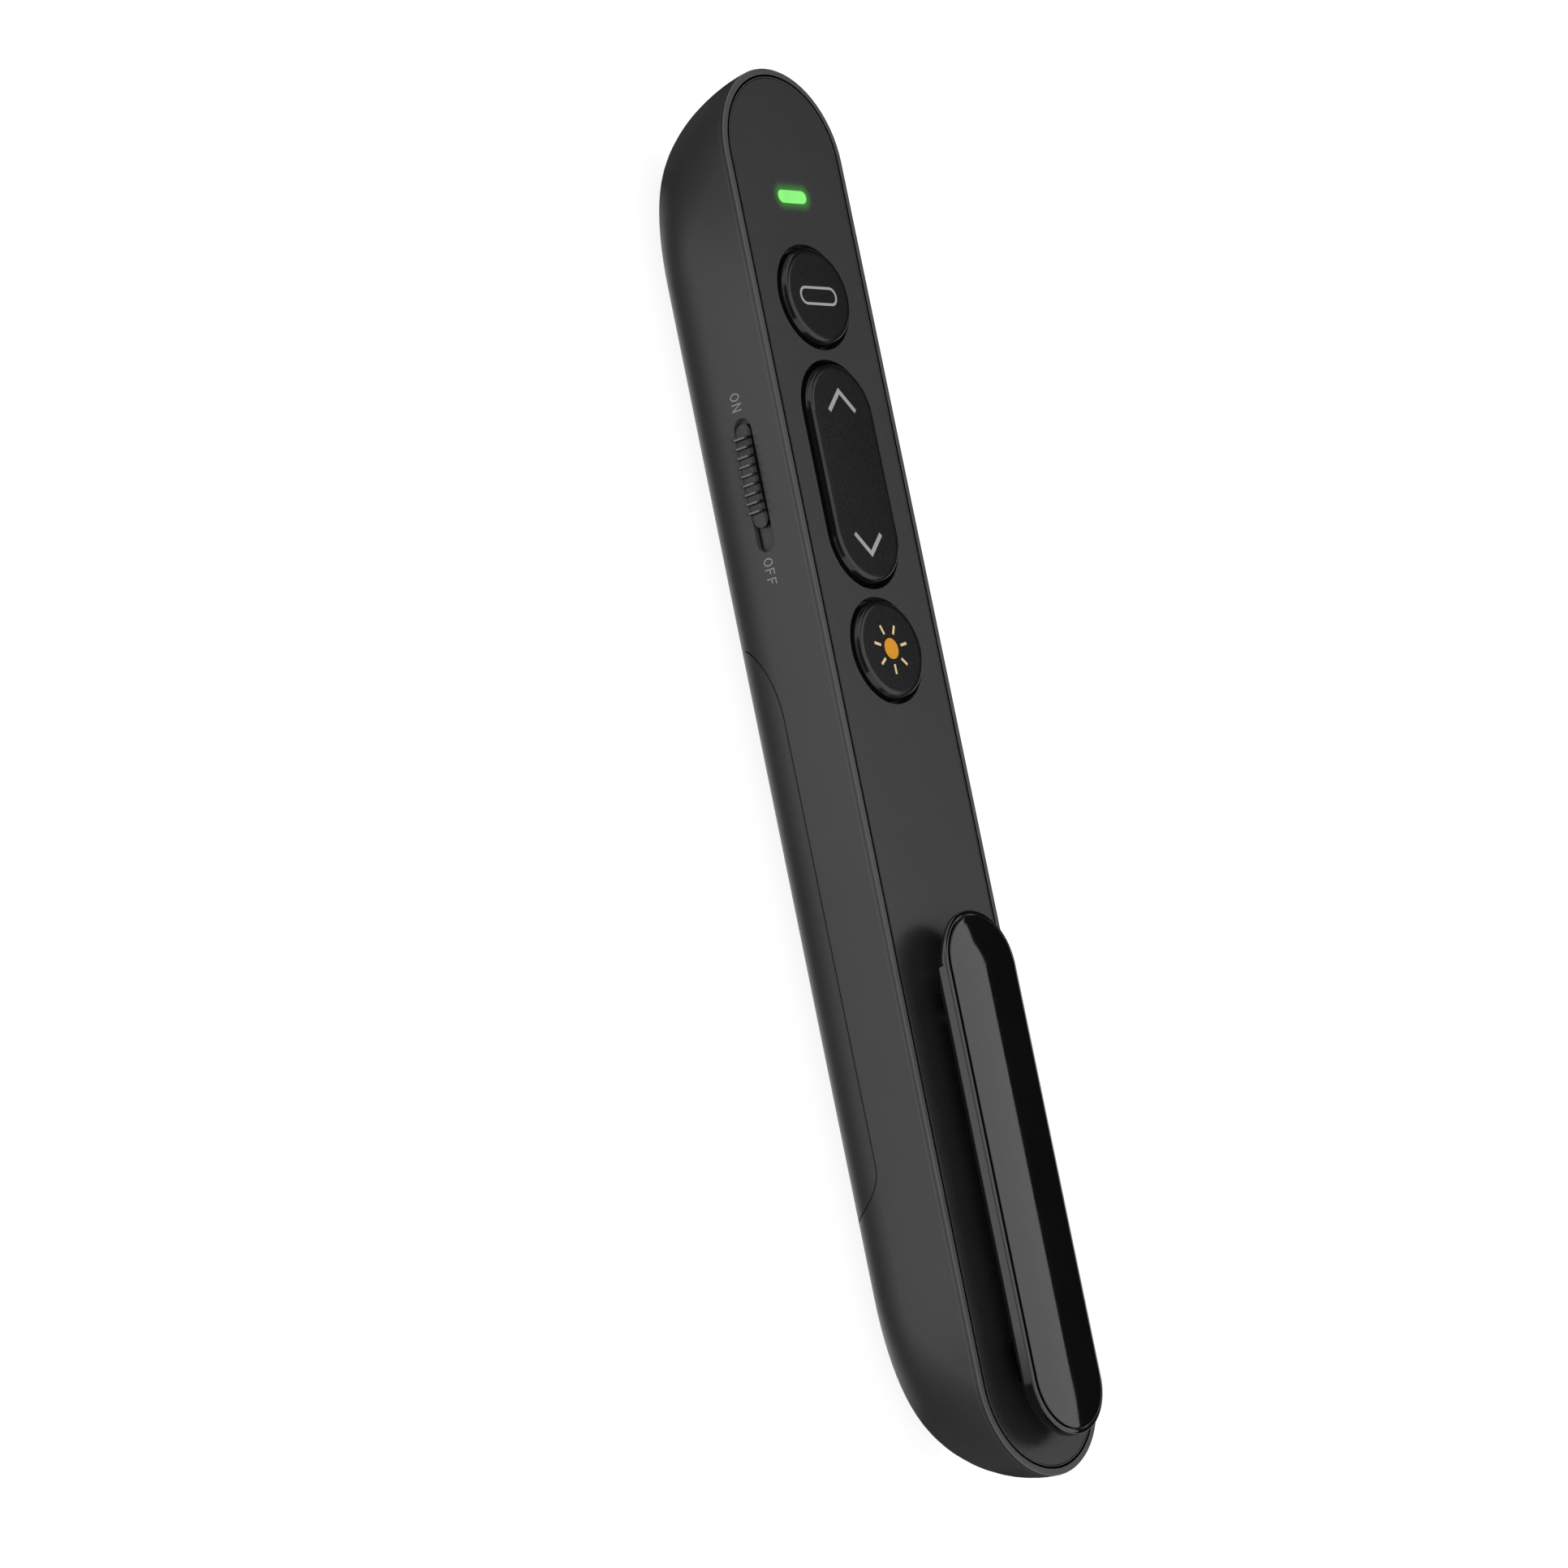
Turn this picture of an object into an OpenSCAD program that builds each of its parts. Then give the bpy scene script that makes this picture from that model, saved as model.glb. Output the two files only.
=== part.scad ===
// Wireless presentation clicker.
// Lies on its back: +Z leaves the front face, +Y points to the laser end, +X is the key side.
// The origin is the centre of the rest flat on the back.

/* [Body] */
// Overall length, end to end
body_length = 150; // [148:1:154]
// Width across the flat side walls
body_width = 19.4; // [19.4:0.1:20.4]
// Depth from the front face to the rest flat
body_depth = 15.1; // [15.1:0.1:15.6]
// Height of the straight part of the side walls
side_straight = 7.0; // [6.6:0.1:7.4]
// How far the top end is drawn in towards the back
top_rake = 9.6; // [9:0.2:11]
// How far the bottom end is drawn in towards the back
bottom_rake = 12.4; // [11:0.2:13]
// Thickness of the housing wall
wall = 1.4; // [1.3:0.05:1.5]
// Width of the rim round the front plate
rim_width = 0.95; // [0.8:0.05:1.1]
// Thickness of the front plate
plate_thickness = 1.3; // [1.2:0.05:1.4]
// Groove between the plate and the rim
plate_gap = 0.15; // [0.1:0.05:0.2]

/* [Buttons] */
// Distance of the lamp from the top end
lamp_from_top = 14.0; // [13:0.5:14.5]
// Length of the lamp's window
lamp_length = 4.6; // [4:0.1:5]
// Width of the lamp's window
lamp_width = 1.35; // [1.2:0.05:1.5]
// Distance of the screen button from the top end
screen_from_top = 24.9; // [24:0.1:25]
// Distance of the rocker's middle from the top end
rocker_from_top = 44; // [43.9:0.1:44.2]
// Distance of the laser button from the top end
laser_from_top = 62.9; // [62.8:0.1:64]
// Diameter of the round caps
cap_diameter = 10.35; // [10:0.05:10.5]
// Length of the rocker
rocker_length = 23.6; // [23:0.1:23.8]
// Gap round each cap
cap_gap = 0.55; // [0.4:0.05:0.6]
// Height of the caps over the front plate
cap_proud = 0.85; // [0.6:0.05:1.2]
// Travel of the round buttons
button_travel = 0.35; // [0.2:0.05:0.4]
// Tilt of the rocker each way, in degrees
rocker_tilt = 2; // [1:0.5:2]

/* [Side controls] */
// Depth of the switch and key centres below the front face
side_line = 5.1; // [5:0.05:5.2]
// Length of the power switch's slot
slot_length = 14.3; // [14:0.1:15]
// Width of the power switch's slot
slot_width = 2.3; // [2.1:0.1:2.5]
// Travel of the power switch
power_travel = 2.0; // [1.6:0.1:2.2]
// Length of the power switch's knob
knob_length = 11.1; // [10.6:0.1:11.4]
// Number of grip ribs on the knob
knob_ribs = 9; // [7:1:9]
// Distance of the side key's middle from the top end
key_from_top = 37.7; // [37:0.1:38.2]
// Length of the side key
key_length = 23; // [22:0.5:24]
// Width of the side key
key_width = 3; // [2.6:0.1:3.1]
// Height of the side key over the side wall
key_proud = 1.0; // [0.6:0.1:1.4]

/* [Clip] */
// Distance of the clip's middle from the bottom end
clip_from_bottom = 31; // [30.5:0.5:32]
// Length of the clip
clip_length = 55; // [53:1:56]
// Width of the clip
clip_width = 11.7; // [11:0.1:12.5]
// Space between the clip and the front plate
clip_space = 2.4; // [2.2:0.1:3]
// Thickness of the clip at its edge
clip_edge = 1.6; // [1.4:0.1:2]
// Distance of the clip's pin from the clip's bottom end
clip_pin_offset = 9; // [8.5:0.5:10]
// Diameter of the clip's pin
clip_pin_diameter = 1.5; // [1.2:0.1:1.6]

/* [Battery and receiver] */
// Diameter of the cell
cell_diameter = 10.5; // [10.3:0.1:10.5]
// Length of the cell with its cap
cell_length = 44.5; // [44:0.5:44.5]
// Width of the receiver's grip
receiver_width = 13.2; // [12.8:0.1:13.4]
// Width of the receiver's plug
plug_width = 12; // [11.8:0.1:12]
// Height of the receiver's plug
plug_height = 4.5; // [4.4:0.1:4.6]
// Length of the receiver's plug
plug_length = 12; // [11.6:0.1:12.2]
// Depth of the door's side seam below the front face
seam_depth = 7.3; // [7.3:0.1:7.6]
// Gap round the battery door
door_gap = 0.15; // [0.1:0.05:0.2]

/* [Hidden] */
$fn = 48;

fit = 0.05;
play = 0.1;
clear = 0.3;
step = 0.01;

// The form runs this much deeper than the rest flat that cuts it.
flat_cut = 0.25;
side_power = 2.2;
end_power = 1.78;
end_stretch = 1.37;
form_depth = body_depth + flat_cut;
half_width = body_width / 2;
half_length = body_length / 2;
front = body_depth;
plate_under = front - plate_thickness;

lamp_y = half_length - lamp_from_top;
screen_y = half_length - screen_from_top;
rocker_y = half_length - rocker_from_top;
laser_y = half_length - laser_from_top;
key_y = half_length - key_from_top;
slot_y = rocker_y;
side_z = front - side_line;

cap_radius = cap_diameter / 2;
hole_radius = cap_radius + cap_gap;
cap_round = 0.3;
stem_radius = 2;
flange_lip = 0.3;
flange_thickness = 0.6;
flange_top = plate_under - play;
flange_bottom = flange_top - flange_thickness;
axle_radius = 0.55;
axle_z = plate_under - 0.95;
axle_web = 0.8;
saddle_width = 0.9;
saddle_half = 1.2;
saddle_wall = 0.3;
saddle_x = hole_radius + 0.15;

board_thickness = 1.0;
board_top = front - 3.7;
board_under = board_top - board_thickness;
board_half = half_width - wall - 0.7;
board_y1 = laser_y - 6.4;
board_y2 = lamp_y + 3.6;
board_corner = 2;
tact_size = 4.6;
tact_height = 1.1;
tact_top = board_top + tact_height;
plunger_radius = 0.8;
plunger_play = 0.25;
plunger_reach = button_travel + 0.15;
page_offset = 8;
rocker_under = tact_top + rocker_length / 2 * sin(rocker_tilt) + clear;

led_size = [2, 1.2, 0.6];
radio_size = [5, 5, 0.9];
memory_size = [3.9, 4.9, 1.2];
crystal_size = [3.2, 1.6, 0.8];
chip_gap = 1.9;
memory_y = rocker_y + 1;
radio_y = memory_y + (memory_size[1] + radio_size[1]) / 2 + 1.6 * chip_gap;
crystal_y = radio_y + (radio_size[1] + crystal_size[1]) / 2 + chip_gap;

pad_thickness = 0.8;
slot_skin = 0.55;
pad_overlap = 0.55;
pad_half_width = slot_width / 2 + pad_overlap;
pad_half_length = (slot_length + power_travel) / 2 + pad_overlap;
knob_y = slot_y + power_travel / 2;
knob_crown = 0.4;
knob_side_gap = 0.12;
rib_pitch = 0.98;
rib_width = 0.25;
rib_height = 0.45;
switch_case = [4, 9, 1.8];
switch_x = -half_width + wall + 1.1;
lever_width = 1.2;
lever_height = 0.7;
lever_out = 0.9;
lever_in = 1.8;
lever_play = 0.15;
lever_z = board_under - switch_case[2] / 2;
fork_width = 1;

key_pivot_x = half_width - wall - 0.5;
key_axle_radius = 0.5;
key_inner_x = key_pivot_x - 0.8;
key_saddle = 0.75;
key_saddle_half = 1.2;
key_slot_gap = 0.2;
key_swing_room = 1.5;
side_tact = [2.6, 3.5, 1.5];
side_tact_x = key_inner_x - 0.6;
side_tact_z = board_under - side_tact[2] / 2;
side_plunger_radius = 0.5;

clip_half = clip_width / 2;
clip_y = -half_length + clip_from_bottom;
clip_bottom = clip_y - clip_length / 2;
clip_tip = clip_y + clip_length / 2;
clip_under = front + clip_space;
clip_crown = 0.35;
pin_y = clip_bottom + clip_pin_offset;
pin_z = plate_under - 1.6;
pin_radius = clip_pin_diameter / 2;
lug_half = 2.6;
lug_radius = 1.6;
clip_swing = 0.65;
ear_x = 5.3;
ear_thickness = 1.0;
ear_half = 1.2;
ear_wall = 0.5;
ridge_inset = 8.5;
ridge_y = clip_tip - ridge_inset;
ridge_radius = clip_space - 0.4;
ridge_half = 2.5;
spring_wire = 0.4;
spring_radius = pin_radius + fit + spring_wire / 2 + 0.1;
spring_turns = 5;
spring_leg = 5;
spring_side_gap = 0.2;

rib_thickness = 1.0;
cell_radius = cell_diameter / 2;
cell_play = 0.2;
cell_z = wall + 0.25 + cell_radius;
nub_radius = 2.6;
nub_length = 1.0;
contact_thickness = 0.3;
contact_half = 4;
front_rib_y = board_y1 - 2.4 - rib_thickness;
cell_front = front_rib_y - play - contact_thickness;
cell_back = cell_front - cell_length;
spring_space = 2.3;
cell_spring_radius = 3;
cell_spring_wire = 0.5;
cell_spring_turns = 4;
back_rib_y = cell_back - spring_space - contact_thickness;
tray_top = plate_under - clear;
tray_roof = 1.1;
tray_wall = 1.2;
lead_half = 0.6;
lead_x = lead_half - cell_radius - cell_play - 0.15;
lead_thickness = 0.2;
lead_z = plate_under - lead_thickness;
tail_half = 1;

grip_length = 6.5;
grip_height = 5.0;
grip_round = 2;
grip_y = front_rib_y + rib_thickness + 0.4;
grip_end = grip_y + grip_length;
receiver_z = wall + 1.65 + grip_height / 2;
plug_skin = 0.3;
plug_end = grip_end + plug_length;
plug_window = 2.2;
plug_window_x = 3;
plug_window_y = grip_end + 5;
guide_overlap = 1.6;

screw_x = board_half - 1.7;
screw_rows = [board_y1 + 2.3, lamp_y - 3.9];
screw_radius = 0.75;
screw_head_radius = 1.4;
screw_head = 0.8;
screw_cross = [1.6, 0.3, 0.35];
screw_tip_gap = 0.35;
screw_reach = board_top - receiver_z - grip_height / 2 - screw_tip_gap - clear;
boss_radius = 1.9;
bracket_half = 1.6;
bracket_bottom = board_top - screw_reach - clear;
shelf_reach = 0.6;
shelf_y = board_y2 - 6;
shelf_length = 4;

door_top_corner = 9.4;
door_bottom_corner = 4.9;
door_top_y = grip_end + 5.6;
door_top_seam = door_top_y - door_top_corner;
door_bottom_y = back_rib_y - rib_thickness + 0.6;
door_bottom_seam = door_bottom_y + door_bottom_corner;
door_corner = front - seam_depth;
tab_length = 5;
tab_thickness = 0.9;
tab_reach = 1.1;
tab_root = 1.5;
tab_inset = 9;
tab_rows = [cell_front - tab_inset, cell_back + tab_inset];
tray_bottom = door_corner + clear;

barrel_radius = 2.9;
barrel_z = board_under - 0.6 - barrel_radius;
barrel_length = 20.8;
barrel_bore = 1.6;
barrel_bore_depth = 3;
driver_size = [4.8, 5, 0.8];
lens_radius = 2.1;
lens_thickness = 0.8;
aperture_radius = 1.5;
laser_end = half_length - top_rake * end_inset((front - barrel_z) / form_depth);
lens_y = laser_end - 2.2;
barrel_back = lens_y - barrel_length;
saddle_inset = 5;
barrel_saddles = [barrel_back + saddle_inset, lens_y - saddle_inset - rib_thickness];

// Share of an end's rake reached at the share t of the form's depth.
function end_inset(t) = 1 - pow(1 - pow(t, end_power), 1 / end_power);

// Half the form's width at the depth s below the front face.
function form_half(s, w, straight, deep) =
    w * pow(1 - pow(max(0, (s - straight) / (deep - straight)), side_power), 1 / side_power);

// Depths of the form's sections, closer together towards the back.
function section_depth(i, n, last) = last * (1 - pow(1 - i / n, 1.8));

// One section of the body form: the two elliptic ends of a stadium, inset all round.
module form_section(s, inset, deep) {
    t = s / form_depth;
    w = form_half(s, half_width - inset, side_straight, deep);
    r = w * (1 + end_stretch * t);
    y1 = half_length - inset - top_rake * end_inset(t) - r;
    y2 = -half_length + inset + bottom_rake * end_inset(t) + r;
    for (y = [y1, y2])
        translate([0, y, front - s])
            scale([1, r / w, 1])
                cylinder(h = step, r = w, $fn = 40);
}

// Outer form of the closed body, with the small round on its front edge.
module outer_form() {
    sections = 12;
    hull() {
        form_section(step, 0.4, form_depth);
        form_section(0.12, 0.12, form_depth);
        form_section(0.4, 0, form_depth);
        for (i = [1:sections])
            form_section(section_depth(i, sections, body_depth), 0, form_depth);
    }
}

// The hollow inside the walls, drawn in by the inset and open at the front.
module inner_form(inset) {
    sections = 9;
    deep = form_depth - inset;
    hull()
        for (i = [0:sections])
            form_section(section_depth(i, sections, body_depth - inset), inset, deep);
}

// A stadium along Y: full length, half width, from z, height h.
module stadium(y, length, r, z, h) {
    translate([0, y, z])
        linear_extrude(h) {
            square([2 * r, length - 2 * r], center = true);
            for (side = [-1, 1])
                translate([0, side * (length / 2 - r)])
                    circle(r);
        }
}

module plate_outline(inset, z, h) {
    stadium(0, body_length - 2 * inset, half_width - inset, z, h);
}

// A box from its lower corner to its upper corner.
module block(a, b) {
    translate(a)
        cube(b - a);
}

// A rod along X or along Y.
module rod_x(x1, x2, y, z, r) {
    translate([x1, y, z])
        rotate([0, 90, 0])
            cylinder(h = x2 - x1, r = r);
}

module rod_y(x, y1, y2, z, r) {
    translate([x, y1, z])
        rotate([-90, 0, 0])
            cylinder(h = y2 - y1, r = r);
}

// Space behind the battery door's seam, drawn in by the gap. Its side view is a straight seam
// that turns down to the back through an elliptic corner at each end.
module door_space(gap) {
    corner_depth = door_corner + step;
    steps = 10;
    top_corner = [for (i = [0:steps]) let (a = 90 * i / steps)
        [door_top_seam + (door_top_corner - gap) * sin(a), (corner_depth - gap) * pow(cos(a), 0.8)]];
    bottom_corner = [for (i = [0:steps]) let (a = 90 * (1 - i / steps))
        [door_bottom_seam - (door_bottom_corner - gap) * sin(a), (corner_depth - gap) * cos(a)]];
    rotate([90, 0, 90])
        translate([0, 0, -body_width])
            linear_extrude(2 * body_width)
                polygon(concat(
                    [[door_top_y - gap, -1]],
                    [[door_bottom_y + gap, -1]],
                    bottom_corner,
                    top_corner
                ));
}

// A helix of round wire about Z, as one closed mesh: coil radius, wire radius, pitch, turns.
module coil(r, wire, pitch, turns) {
    per_turn = 14;
    sides = 6;
    n = per_turn * turns;
    points = [for (i = [0:n]) let (a = 360 * i / per_turn)
        for (k = [0:sides - 1]) let (b = 360 * k / sides, q = r + wire * cos(b))
            [q * cos(a), q * sin(a), pitch * i / per_turn + wire * sin(b)]];
    skin = [for (i = [0:n - 1]) for (k = [0:sides - 1]) let (m = (k + 1) % sides)
        [i * sides + k, i * sides + m, (i + 1) * sides + m, (i + 1) * sides + k]];
    first = [[for (k = [0:sides - 1]) sides - 1 - k]];
    last = [[for (k = [0:sides - 1]) n * sides + k]];
    polyhedron(points = points, faces = concat(skin, first, last), convexity = 8);
}

// Everything moulded on the inside of the housing.
module shell_ribs() {
    for (y = barrel_saddles)
        difference() {
            block([-half_width, y, 0], [half_width, y + rib_thickness, barrel_z]);
            rod_y(0, y - 1, y + rib_thickness + 1, barrel_z, barrel_radius + fit);
        }
    rod_y(0, lens_y - barrel_bore_depth, half_length, barrel_z, barrel_radius + rib_thickness);
    for (side = [-1, 1])
        translate([side * screw_x, screw_rows[1], 0])
            cylinder(h = board_under, r = boss_radius);
    for (side = [-1, 1])
        block(
            [
                side > 0 ? screw_x - boss_radius : -half_width,
                screw_rows[0] - bracket_half,
                bracket_bottom
            ],
            [
                side > 0 ? half_width : -screw_x + boss_radius,
                screw_rows[0] + bracket_half,
                board_under
            ]
        );
    for (side = [-1, 1])
        block(
            [
                side > 0 ? board_half - shelf_reach : -half_width,
                shelf_y,
                board_under - rib_thickness
            ],
            [
                side > 0 ? half_width : -board_half + shelf_reach,
                shelf_y + shelf_length,
                board_under
            ]
        );
    difference() {
        block(
            [-half_width, plug_end - guide_overlap, 0],
            [half_width, plug_end + rib_thickness, receiver_z + plug_height / 2 + play]
        );
        block(
            [-plug_width / 2 - play, plug_end - guide_overlap - 1, receiver_z - plug_height / 2 - play],
            [plug_width / 2 + play, plug_end + play, board_under]
        );
    }
    key_brackets();
    battery_tray();
}

// Saddles for the side key's two axle stubs.
module key_brackets() {
    for (side = [-1, 1])
        let (z = side_z + side * (key_width / 2 + clear + key_saddle / 2))
            block(
                [key_pivot_x - 1, key_y - key_saddle_half, z - key_saddle / 2],
                [half_width - wall / 2, key_y + key_saddle_half, z + key_saddle / 2]
            );
}

// Cradle and end ribs that carry the cell.
module battery_tray() {
    difference() {
        union() {
            block(
                [-half_width, back_rib_y - rib_thickness, tray_top - tray_roof],
                [half_width, front_rib_y + rib_thickness, tray_top]
            );
            for (side = [-1, 1])
                translate([side * (cell_radius + cell_play + tray_wall / 2), 0, 0])
                    block(
                        [-tray_wall / 2, back_rib_y, tray_bottom],
                        [tray_wall / 2, front_rib_y, tray_top]
                    );
        }
        rod_y(0, back_rib_y, front_rib_y, cell_z, cell_radius + cell_play);
    }
    for (y = [back_rib_y - rib_thickness, front_rib_y])
        block([-half_width, y, wall], [half_width, y + rib_thickness, tray_top]);
}

module rear_shell() {
    color("#3c3d3f")
        difference() {
            union() {
                difference() {
                    outer_form();
                    inner_form(wall);
                    door_space(0);
                }
                intersection() {
                    inner_form(wall - 0.1);
                    difference() {
                        shell_ribs();
                        door_clearance();
                    }
                }
            }
            plate_outline(rim_width, plate_under, plate_thickness + 1);
            plate_outline(wall, tray_top + step, plate_under - tray_top);
            shell_openings();
        }
}

// Room kept inside the door: only the end ribs of the tray reach into it.
module door_clearance() {
    difference() {
        door_space(-0.4);
        inner_form(wall + clear);
    }
}

module shell_openings() {
    // Slot of the power switch and the pocket for its sliding pad.
    translate([-half_width - 1, slot_y, side_z])
        rotate([0, 90, 0])
            slot_prism(slot_length, slot_width, wall + 2);
    block(
        [
            -half_width + slot_skin,
            slot_y - pad_half_length - power_travel / 2 - clear,
            side_z - pad_half_width - fit
        ],
        [
            -half_width + wall + 1,
            slot_y + pad_half_length + power_travel / 2 + clear,
            side_z + pad_half_width + fit
        ]
    );
    // Slot of the side key.
    translate([half_width - wall - 1, key_y, side_z])
        rotate([0, 90, 0])
            slot_prism(key_length + 2 * clear, key_width + 2 * key_slot_gap, wall + 2);
    // Bore for the side key's axle stubs, through both saddles.
    translate([key_pivot_x, key_y, side_z - key_width / 2 - clear - key_saddle - 0.2])
        cylinder(h = key_width + 2 * (clear + key_saddle + 0.2), r = key_axle_radius + fit);
    // Holes for the board's screws.
    for (side = [-1, 1], y = screw_rows)
        translate([side * screw_x, y, board_top - screw_reach - 0.1])
            cylinder(h = screw_reach, r = screw_radius + fit);
    // Laser bore: barrel seat, lens seat and aperture on one axis.
    rod_y(0, barrel_back - 2, lens_y, barrel_z, barrel_radius + fit);
    rod_y(0, lens_y - 1, lens_y + lens_thickness, barrel_z, lens_radius + fit);
    rod_y(0, lens_y, half_length + 1, barrel_z, aperture_radius);
    // Slot for the positive contact's tail.
    block(
        [-tail_half - clear, front_rib_y - 1, board_under - 2 * contact_thickness],
        [tail_half + clear, front_rib_y + rib_thickness + 1, board_under + clear]
    );
    // Notch for the negative contact's tail.
    block(
        [lead_x - lead_half, back_rib_y - play, tray_top - tray_roof - 1],
        [lead_x + lead_half, back_rib_y + contact_thickness + 2 * play, tray_top + 1]
    );
}

// A slot-shaped prism: length along Y, width along X, extruded up.
module slot_prism(length, width, h) {
    linear_extrude(h) {
        square([width, length - width], center = true);
        for (side = [-1, 1])
            translate([0, side * (length - width) / 2])
                circle(width / 2);
    }
}

module front_plate() {
    color("#46474a")
        difference() {
            union() {
                plate_outline(rim_width + plate_gap, plate_under, plate_thickness);
                for (side = [-1, 1])
                    translate([side * (saddle_x + saddle_width / 2), rocker_y, axle_z])
                        block(
                            [-saddle_width / 2, -saddle_half, -axle_radius - fit - saddle_wall],
                            [saddle_width / 2, saddle_half, plate_under - axle_z + step]
                        );
                for (side = [-1, 1])
                    translate([side * (ear_x + ear_thickness / 2), pin_y, pin_z])
                        block(
                            [-ear_thickness / 2, -ear_half, -pin_radius - ear_wall],
                            [ear_thickness / 2, ear_half, plate_under - pin_z + step]
                        );
            }
            for (y = [screen_y, laser_y])
                translate([0, y, plate_under - 1])
                    cylinder(h = plate_thickness + 2, r = hole_radius);
            stadium(
                rocker_y, rocker_length + 2 * cap_gap, hole_radius, plate_under - 1,
                plate_thickness + 2
            );
            translate([0, lamp_y, plate_under - 1])
                lamp_prism(fit, plate_thickness + 2);
            block(
                [-lug_half - clear, pin_y - lug_radius - clip_swing - clear, plate_under - 1],
                [lug_half + clear, pin_y + lug_radius + clear, front + 1]
            );
            rod_x(-half_width, half_width, rocker_y, axle_z, axle_radius + fit);
            rod_x(-half_width, half_width, pin_y, pin_z, pin_radius + 0.02);
        }
}

module lamp_prism(grow, h) {
    rotate([0, 0, 90])
        slot_prism(lamp_length + 2 * grow, lamp_width + 2 * grow, h);
}

module light_pipe() {
    color("#9bff8c")
        translate([0, lamp_y, 0]) {
            translate([0, 0, board_top + led_size[2] + 0.2])
                lamp_prism(0, front - board_top - led_size[2] - 0.2);
            translate([0, 0, plate_under - flange_thickness])
                lamp_prism(0.5, flange_thickness);
        }
}

// A cap with a round on its top edge: stadium or disc by its length.
// Each layer gives how far it is drawn in, where it starts and how high it is.
module cap(y, length, r, z) {
    top = front + cap_proud;
    layers = [
        [0, z, top - z - cap_round - 0.05],
        [cap_round / 3, top - cap_round / 2, 0.05],
        [cap_round, top - 0.05, 0.05]
    ];
    hull()
        for (layer = layers, side = length > 2 * r ? [-1, 1] : [0])
            translate([0, y + side * (length / 2 - r), layer[1]])
                cylinder(h = layer[2], r = r - layer[0], $fn = 40);
}

module round_button(y) {
    cap(y, cap_diameter, cap_radius, plate_under);
    translate([0, y, flange_bottom])
        cylinder(h = flange_thickness, r = hole_radius + flange_lip);
    translate([0, y, flange_top - step])
        cylinder(h = plate_under - flange_top + 0.2, r = cap_radius - 0.1);
    translate([0, y, tact_top + plunger_reach])
        cylinder(h = flange_bottom - tact_top - plunger_reach + step, r = stem_radius);
}

module screen_button() {
    color("#2a2a2c")
        round_button(screen_y);
}

module laser_button() {
    color("#2a2a2c")
        round_button(laser_y);
}

module page_rocker() {
    color("#2a2a2c") {
        cap(rocker_y, rocker_length, cap_radius, rocker_under);
        block(
            [-cap_radius + 0.4, rocker_y - axle_web, axle_z - 0.4],
            [cap_radius - 0.4, rocker_y + axle_web, rocker_under + 0.1]
        );
        rod_x(
            -saddle_x - saddle_width, saddle_x + saddle_width, rocker_y, axle_z, axle_radius
        );
    }
}

// A switch plunger from the button above it down into its case.
module plunger(y, z) {
    translate([0, y, tact_top - plunger_reach])
        cylinder(h = z - tact_top + plunger_reach, r = plunger_radius);
}

module screen_plunger() {
    color("#d8d8d4")
        plunger(screen_y, tact_top + plunger_reach);
}

module laser_plunger() {
    color("#d8d8d4")
        plunger(laser_y, tact_top + plunger_reach);
}

module page_plungers() {
    color("#d8d8d4")
        for (side = [-1, 1])
            plunger(rocker_y + side * page_offset, rocker_under);
}

module front_tacts() {
    color("silver")
        for (y = [screen_y, rocker_y + page_offset, rocker_y - page_offset, laser_y])
            translate([0, y, board_top])
                difference() {
                    translate([-tact_size / 2, -tact_size / 2, 0])
                        cube([tact_size, tact_size, tact_height]);
                    translate([0, 0, 0.08])
                        cylinder(h = tact_height, r = plunger_radius + plunger_play);
                }
}

module circuit_board() {
    color("#1f6b45")
        difference() {
            union() {
                block(
                    [-board_half, board_y1, board_under],
                    [board_half, board_y2 - 2 * board_corner, board_top]
                );
                block(
                    [-board_half + board_corner, board_y1, board_under],
                    [board_half - board_corner, board_y2, board_top]
                );
                for (side = [-1, 1])
                    translate([
                        side * (board_half - board_corner),
                        board_y2 - 2 * board_corner,
                        board_under
                    ])
                        scale([1, 2, 1])
                            cylinder(h = board_thickness, r = board_corner, $fn = 32);
            }
            block(
                [key_inner_x - 0.4, key_y - key_length / 2 - key_swing_room, board_under - 1],
                [half_width, key_y + key_length / 2 + key_swing_room, board_top + 1]
            );
            for (side = [-1, 1], y = screw_rows)
                translate([side * screw_x, y, board_under - 1])
                    cylinder(h = board_thickness + 2, r = screw_radius + fit);
        }
}

module board_screws() {
    color("#b9bcc0")
        for (side = [-1, 1], y = screw_rows)
            translate([side * screw_x, y, board_top]) {
                difference() {
                    cylinder(h = screw_head, r = screw_head_radius);
                    for (turn = [0, 90])
                        rotate([0, 0, turn])
                            translate([
                                -screw_cross[0] / 2,
                                -screw_cross[1] / 2,
                                screw_head - screw_cross[2]
                            ])
                                cube([screw_cross[0], screw_cross[1], 1]);
                }
                translate([0, 0, -screw_reach])
                    cylinder(h = screw_reach + 0.4, r = screw_radius);
            }
}

// A part soldered to the board: its size, the place of its middle and its lower face.
module board_part(size, y, z) {
    translate([-size[0] / 2, y - size[1] / 2, z])
        cube(size);
}

module status_led() {
    color("#e8ffe0")
        board_part(led_size, lamp_y, board_top);
}

module radio_chip() {
    color("#202022")
        board_part(radio_size, radio_y, board_under - radio_size[2]);
}

module memory_chip() {
    color("#202022")
        board_part(memory_size, memory_y, board_under - memory_size[2]);
}

module crystal() {
    color("silver")
        board_part(crystal_size, crystal_y, board_under - crystal_size[2]);
}

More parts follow.
